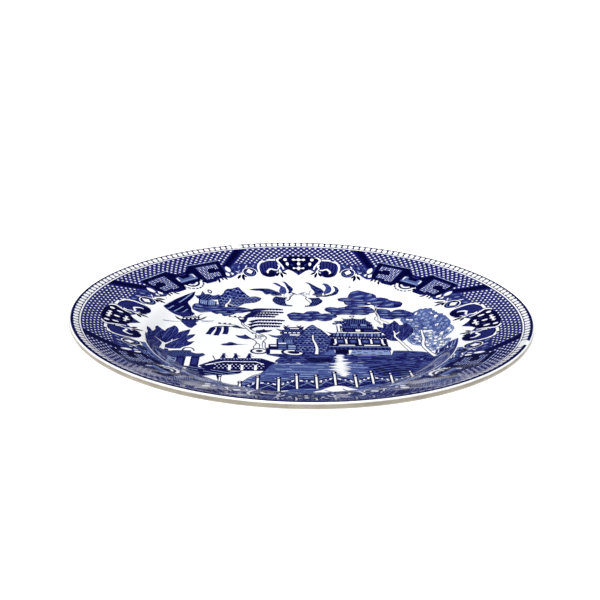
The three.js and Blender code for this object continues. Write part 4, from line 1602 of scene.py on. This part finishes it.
class ChinaStage(bpy.types.PropertyGroup):
    """Floor, light and camera."""

    floor: color_setting("Floor", (0.6, 0.6, 0.6), "Colour of the floor")
    sky: FloatProperty(
        name="Sky", description="Strength of the even light from all sides", default=0.025, min=0, max=5,
    )
    light: FloatProperty(
        name="Light", description="Strength of the broad light overhead", default=3.7, min=0, max=20,
    )
    glow: FloatProperty(
        name="Glow", description="Light that the floor gives off by itself", default=0.75, min=0, max=5,
    )
    lens: FloatProperty(
        name="Lens", description="Focal length", default=54.37, min=10, max=200, unit="CAMERA",
    )
    distance: FloatProperty(
        name="Distance", description="From the camera to the middle of the rim", default=0.507, min=0.2,
        max=5, unit="LENGTH",
    )
    elevation: FloatProperty(
        name="Elevation", description="Angle of the camera above the table", default=math.radians(19.55),
        subtype="ANGLE",
    )
    azimuth: FloatProperty(
        name="Azimuth", description="Angle of the camera round the plate from straight in front",
        default=math.radians(-1.63), subtype="ANGLE",
    )
    roll: FloatProperty(
        name="Roll", description="Tilt of the camera about its own line of sight",
        default=math.radians(1.195), subtype="ANGLE",
    )


# ---- operators ----
FLOOR_REACH = 40  # metres from the plate to the floor's edge, where a white curtain stands
FLOOR_DROP = 0.0002  # and how far under the foot the floor lies
CURTAIN_FLATS = 64
CURTAIN_GREY = (0.6, 0.6, 0.6)
CAMERA_SHIFT = (-0.0035, 0.006)


def lip_arc(radius, start, end, steps=14):
    """Points round the lip between two angles above the outward direction, in degrees."""
    angles = np.radians(np.linspace(start, end, steps + 1))
    return [(LIP_R + radius * math.cos(a), LIP_Z + radius * math.sin(a)) for a in angles]


LIP_START = math.degrees(math.atan2(RIM_END_HEIGHT - LIP_Z, RIM_END - LIP_R))
LIP_END = LIP_START - 180


def face_radii(step=0.9):
    """Radii that follow the face closely where it curves, from the floor's edge to the lip."""
    return list(
        np.arange(FLOOR_RADIUS, SHOULDER_RADIUS, step)
    ) + list(np.linspace(SHOULDER_RADIUS, RIM_END, 30))


def back_point(r, inset=0.0):
    """A point of the back, straight through the wall from its point of the face."""
    return under(r, wall(r) - inset)


def back_radii():
    """Face radii of the back from the foot ring out to the lip."""
    low, high = 0.0, RIM_END
    for _ in range(50):
        middle = (low + high) / 2
        if back_point(middle)[0] < FOOT_OUTER:
            low = middle
        else:
            high = middle
    return list(np.linspace(low, RIM_END, 60))


def foot_corner(wall_radius, inwards, steps=8):
    """The rounded corner of the foot ring, from its wall round to its flat bottom."""
    centre = wall_radius + inwards * FOOT_ROUNDING
    angles = np.linspace(0, math.pi / 2, steps + 1)
    return [
        (
            centre - inwards * FOOT_ROUNDING * math.cos(a), FOOT_ROUNDING - FOOT_ROUNDING * math.sin(a),
        ) for a in angles
    ]


class CHINA_OT_body(bpy.types.Operator):
    """Turn the fired body: rim, well and foot ring in one piece"""

    bl_idname = "china.body"
    bl_label = "Fired Body"

    def execute(self, context):
        settings = context.scene.china_body
        radii = face_radii()
        radii_back = back_radii()
        profile = [
            (0, FOOT_HEIGHT + GLAZE),
            (FOOT_INNER + GLAZE, FOOT_HEIGHT + GLAZE),
            (FOOT_INNER + GLAZE, BARE_FOOT),
            (FOOT_INNER, BARE_FOOT),
            *foot_corner(FOOT_INNER, 1),
            *reversed(foot_corner(FOOT_OUTER, -1)),
            (FOOT_OUTER, BARE_FOOT),
            (FOOT_OUTER - GLAZE, BARE_FOOT),
            (FOOT_OUTER - GLAZE, back_point(radii_back[0])[1] + GLAZE),
            *[back_point(r, GLAZE) for r in radii_back[1:-1]],
            *lip_arc(LIP_RADIUS - GLAZE, LIP_END, LIP_START, 24),
            *[under(r, GLAZE) for r in reversed(radii[:-1])],
            (0, FLOOR_HEIGHT - GLAZE),
        ]
        clay = biscuit_finish("biscuit", settings.clay)
        piece = turned("fired_body", profile, settings.flats, clay)
        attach(piece, "root")
        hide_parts("plate_body")
        return {"FINISHED"}


class CHINA_OT_glazes(bpy.types.Operator):
    """Coat the body: the face, the back and the inside of the foot ring"""

    bl_idname = "china.glazes"
    bl_label = "Glazes"

    def execute(self, context):
        settings = context.scene.china_body
        flats = settings.flats
        radii = face_radii()
        radii_back = back_radii()
        white = glaze_finish("face_glaze", settings.white, tuple(c * 0.985 for c in settings.white), 0.86)
        # painted shade: the outer lower side of the lip on the face coat, and the back just under the lip,
        # run into the dark lip colour
        paint_lip_shade(white, settings.lip, LIP_R + 1.25, LIP_R + 1.6, False)
        # painted shade: the back coat's darker, warmer glaze colour stands in for the shade under the plate
        shaded_back = glaze_finish("back_glaze", settings.back, tuple(c * 0.94 for c in settings.back), 0.8)
        paint_lip_shade(shaded_back, settings.lip, LIP_Z - LIP_RADIUS - 3, LIP_Z - 0.9 * LIP_RADIUS, True)
        front = [
            (0, FLOOR_HEIGHT - GLAZE),
            *[under(r, GLAZE) for r in radii[:-1]],
            *lip_arc(LIP_RADIUS - GLAZE, LIP_START, 0),
            *lip_arc(LIP_RADIUS, 0, LIP_START),
            *[under(r, 0) for r in reversed(radii[:-1])],
            (0, FLOOR_HEIGHT),
        ]
        foot_top = back_point(radii_back[0])[1]
        back = [
            *[back_point(r) for r in radii_back[1:]],
            *lip_arc(LIP_RADIUS, LIP_END, 0)[1:],
            *lip_arc(LIP_RADIUS - GLAZE, 0, LIP_END),
            *[back_point(r, GLAZE) for r in reversed(radii_back[1:-1])],
            (FOOT_OUTER - GLAZE, foot_top + GLAZE),
            (FOOT_OUTER - GLAZE, BARE_FOOT),
            (FOOT_OUTER, BARE_FOOT),
            (FOOT_OUTER, foot_top),
        ]
        recess = [
            (0, FOOT_HEIGHT),
            (FOOT_INNER, FOOT_HEIGHT),
            (FOOT_INNER, BARE_FOOT),
            (FOOT_INNER + GLAZE, BARE_FOOT),
            (FOOT_INNER + GLAZE, FOOT_HEIGHT + GLAZE),
            (0, FOOT_HEIGHT + GLAZE),
        ]
        for name, profile, finish, node in (
            ("face_coat", front, white, "front_glaze"),
            ("back_coat", back, shaded_back, "back_glaze"),
            ("foot_recess_coat", recess, shaded_back, "foot_recess_glaze"),
        ):
            piece = turned(name, profile, flats, finish)
            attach(piece, "root")
            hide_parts(node)
        return {"FINISHED"}


def press(sheet, node):
    """Makes the pieces of a print from its sheet, all of them standing for one node."""
    plan, kept = sheet.resolve()
    finishes = ink_finishes()
    for motif, triangles in kept.items():
        piece = print_piece(motif, plan, triangles, INK_TONES)
        for finish in finishes:
            piece.data.materials.append(finish)
        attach(piece, "root")
        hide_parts(node)


class CHINA_OT_landscape(bpy.types.Operator):
    """Print the landscape in the well"""

    bl_idname = "china.landscape"
    bl_label = "Landscape Print"

    def execute(self, context):
        press(landscape(), "centre_print")
        return {"FINISHED"}


class CHINA_OT_border(bpy.types.Operator):
    """Print the border on the rim"""

    bl_idname = "china.border"
    bl_label = "Border Print"

    def execute(self, context):
        press(border(), "border_print")
        return {"FINISHED"}


class CHINA_OT_edge_band(bpy.types.Operator):
    """Print the beaded band on the edge"""

    bl_idname = "china.edge_band"
    bl_label = "Edge Band Print"

    def execute(self, context):
        press(edge_band(), "edge_band_print")
        return {"FINISHED"}


class CHINA_OT_stage(bpy.types.Operator):
    """Lay the floor, hang the lights and set the camera"""

    bl_idname = "china.stage"
    bl_label = "Stage"

    def execute(self, context):
        stage = context.scene.china_stage
        scene = context.scene
        mesh = bpy.data.meshes.new("floor")
        far = FLOOR_REACH
        mesh.from_pydata([(-far, -far, 0), (far, -far, 0), (far, far, 0), (-far, far, 0)], [], [(0, 1, 2, 3)])
        floor = link("floor", mesh)
        floor.location.z = -FLOOR_DROP
        mesh.materials.append(paper_finish("floor_paper", stage.floor, stage.glow, 0.1))
        ring = [(far * x, far * y) for x, y in oval(0, 0, 0.98, n=CURTAIN_FLATS)]
        n = CURTAIN_FLATS
        mesh = bpy.data.meshes.new("curtain")
        mesh.from_pydata(
            [(x, y, -0.01) for x, y in ring] + [(x, y, far) for x, y in ring],
            [],
            [(k, (k + 1) % n, n + (k + 1) % n, n + k) for k in range(n)],
        )
        curtain = link("curtain", mesh)
        mesh.materials.append(paper_finish("curtain_cloth", CURTAIN_GREY, 1.0, 0.5))
        for ray in ("diffuse", "glossy", "transmission", "shadow"):
            setattr(curtain, f"visible_{ray}", False)
        world = bpy.data.worlds.new("soft_room")
        world.use_nodes = True
        world.node_tree.nodes["Background"].inputs["Color"].default_value = (1, 1, 1, 1)
        world.node_tree.nodes["Background"].inputs["Strength"].default_value = stage.sky
        scene.world = world
        scene.view_settings.view_transform = "Standard"
        for name, direction, spread, share in (
            ("overhead", (-0.12, -0.3, 1.0), 40, 1.0),
            ("window", (-0.7, -0.7, 0.8), 50, 0.2),
        ):
            light = bpy.data.lights.new(name, "SUN")
            light.angle = math.radians(spread)
            light.energy = stage.light * share
            lamp = bpy.data.objects.new(name, light)
            lamp.rotation_euler = (-Vector(direction)).to_track_quat("-Z", "Y").to_euler()
            scene.collection.objects.link(lamp)
        aim = Vector((0, 0, LIP_TOP * MM))
        away = Vector(
            (
                math.cos(stage.elevation) * math.sin(stage.azimuth),
                -math.cos(stage.elevation) * math.cos(stage.azimuth),
                math.sin(stage.elevation),
            )
        )
        data = bpy.data.cameras.new("camera")
        data.lens = stage.lens
        data.clip_start = 0.01
        data.shift_x, data.shift_y = CAMERA_SHIFT
        camera = bpy.data.objects.new("camera", data)
        camera.location = aim + away * stage.distance
        turn = (-away).to_track_quat("-Z", "Y").to_matrix() @ Matrix.Rotation(stage.roll, 3, "Z")
        camera.rotation_euler = turn.to_euler()
        scene.collection.objects.link(camera)
        scene.camera = camera
        return {"FINISHED"}


class CHINA_PT_panel(bpy.types.Panel):
    """The plate's operators and settings."""

    bl_idname = "CHINA_PT_panel"
    bl_label = "China Dinner Plate"
    bl_space_type = "VIEW_3D"
    bl_region_type = "UI"
    bl_category = "China"

    def draw(self, context):
        layout = self.layout
        for operator in OPERATORS:
            layout.operator(operator.bl_idname)
        for group in (context.scene.china_body, context.scene.china_ink, context.scene.china_stage):
            for name in group.bl_rna.properties.keys():
                if name not in ("rna_type", "name"):
                    layout.prop(group, name)


SETTINGS = (("china_body", ChinaBody), ("china_ink", ChinaInk), ("china_stage", ChinaStage))
OPERATORS = (
    CHINA_OT_body,
    CHINA_OT_glazes,
    CHINA_OT_landscape,
    CHINA_OT_border,
    CHINA_OT_edge_band,
    CHINA_OT_stage,
)


def register():
    for name, group in SETTINGS:
        bpy.utils.register_class(group)
        setattr(bpy.types.Scene, name, PointerProperty(type=group))
    for cls in (*OPERATORS, CHINA_PT_panel):
        bpy.utils.register_class(cls)


def unregister():
    for cls in (CHINA_PT_panel, *reversed(OPERATORS)):
        bpy.utils.unregister_class(cls)
    for name, group in reversed(SETTINGS):
        delattr(bpy.types.Scene, name)
        bpy.utils.unregister_class(group)


def main():
    register()
    bpy.ops.china.body()
    bpy.ops.china.glazes()
    bpy.ops.china.landscape()
    bpy.ops.china.border()
    bpy.ops.china.edge_band()
    bpy.ops.china.stage()
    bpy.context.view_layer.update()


if __name__ == "__main__":
    main()
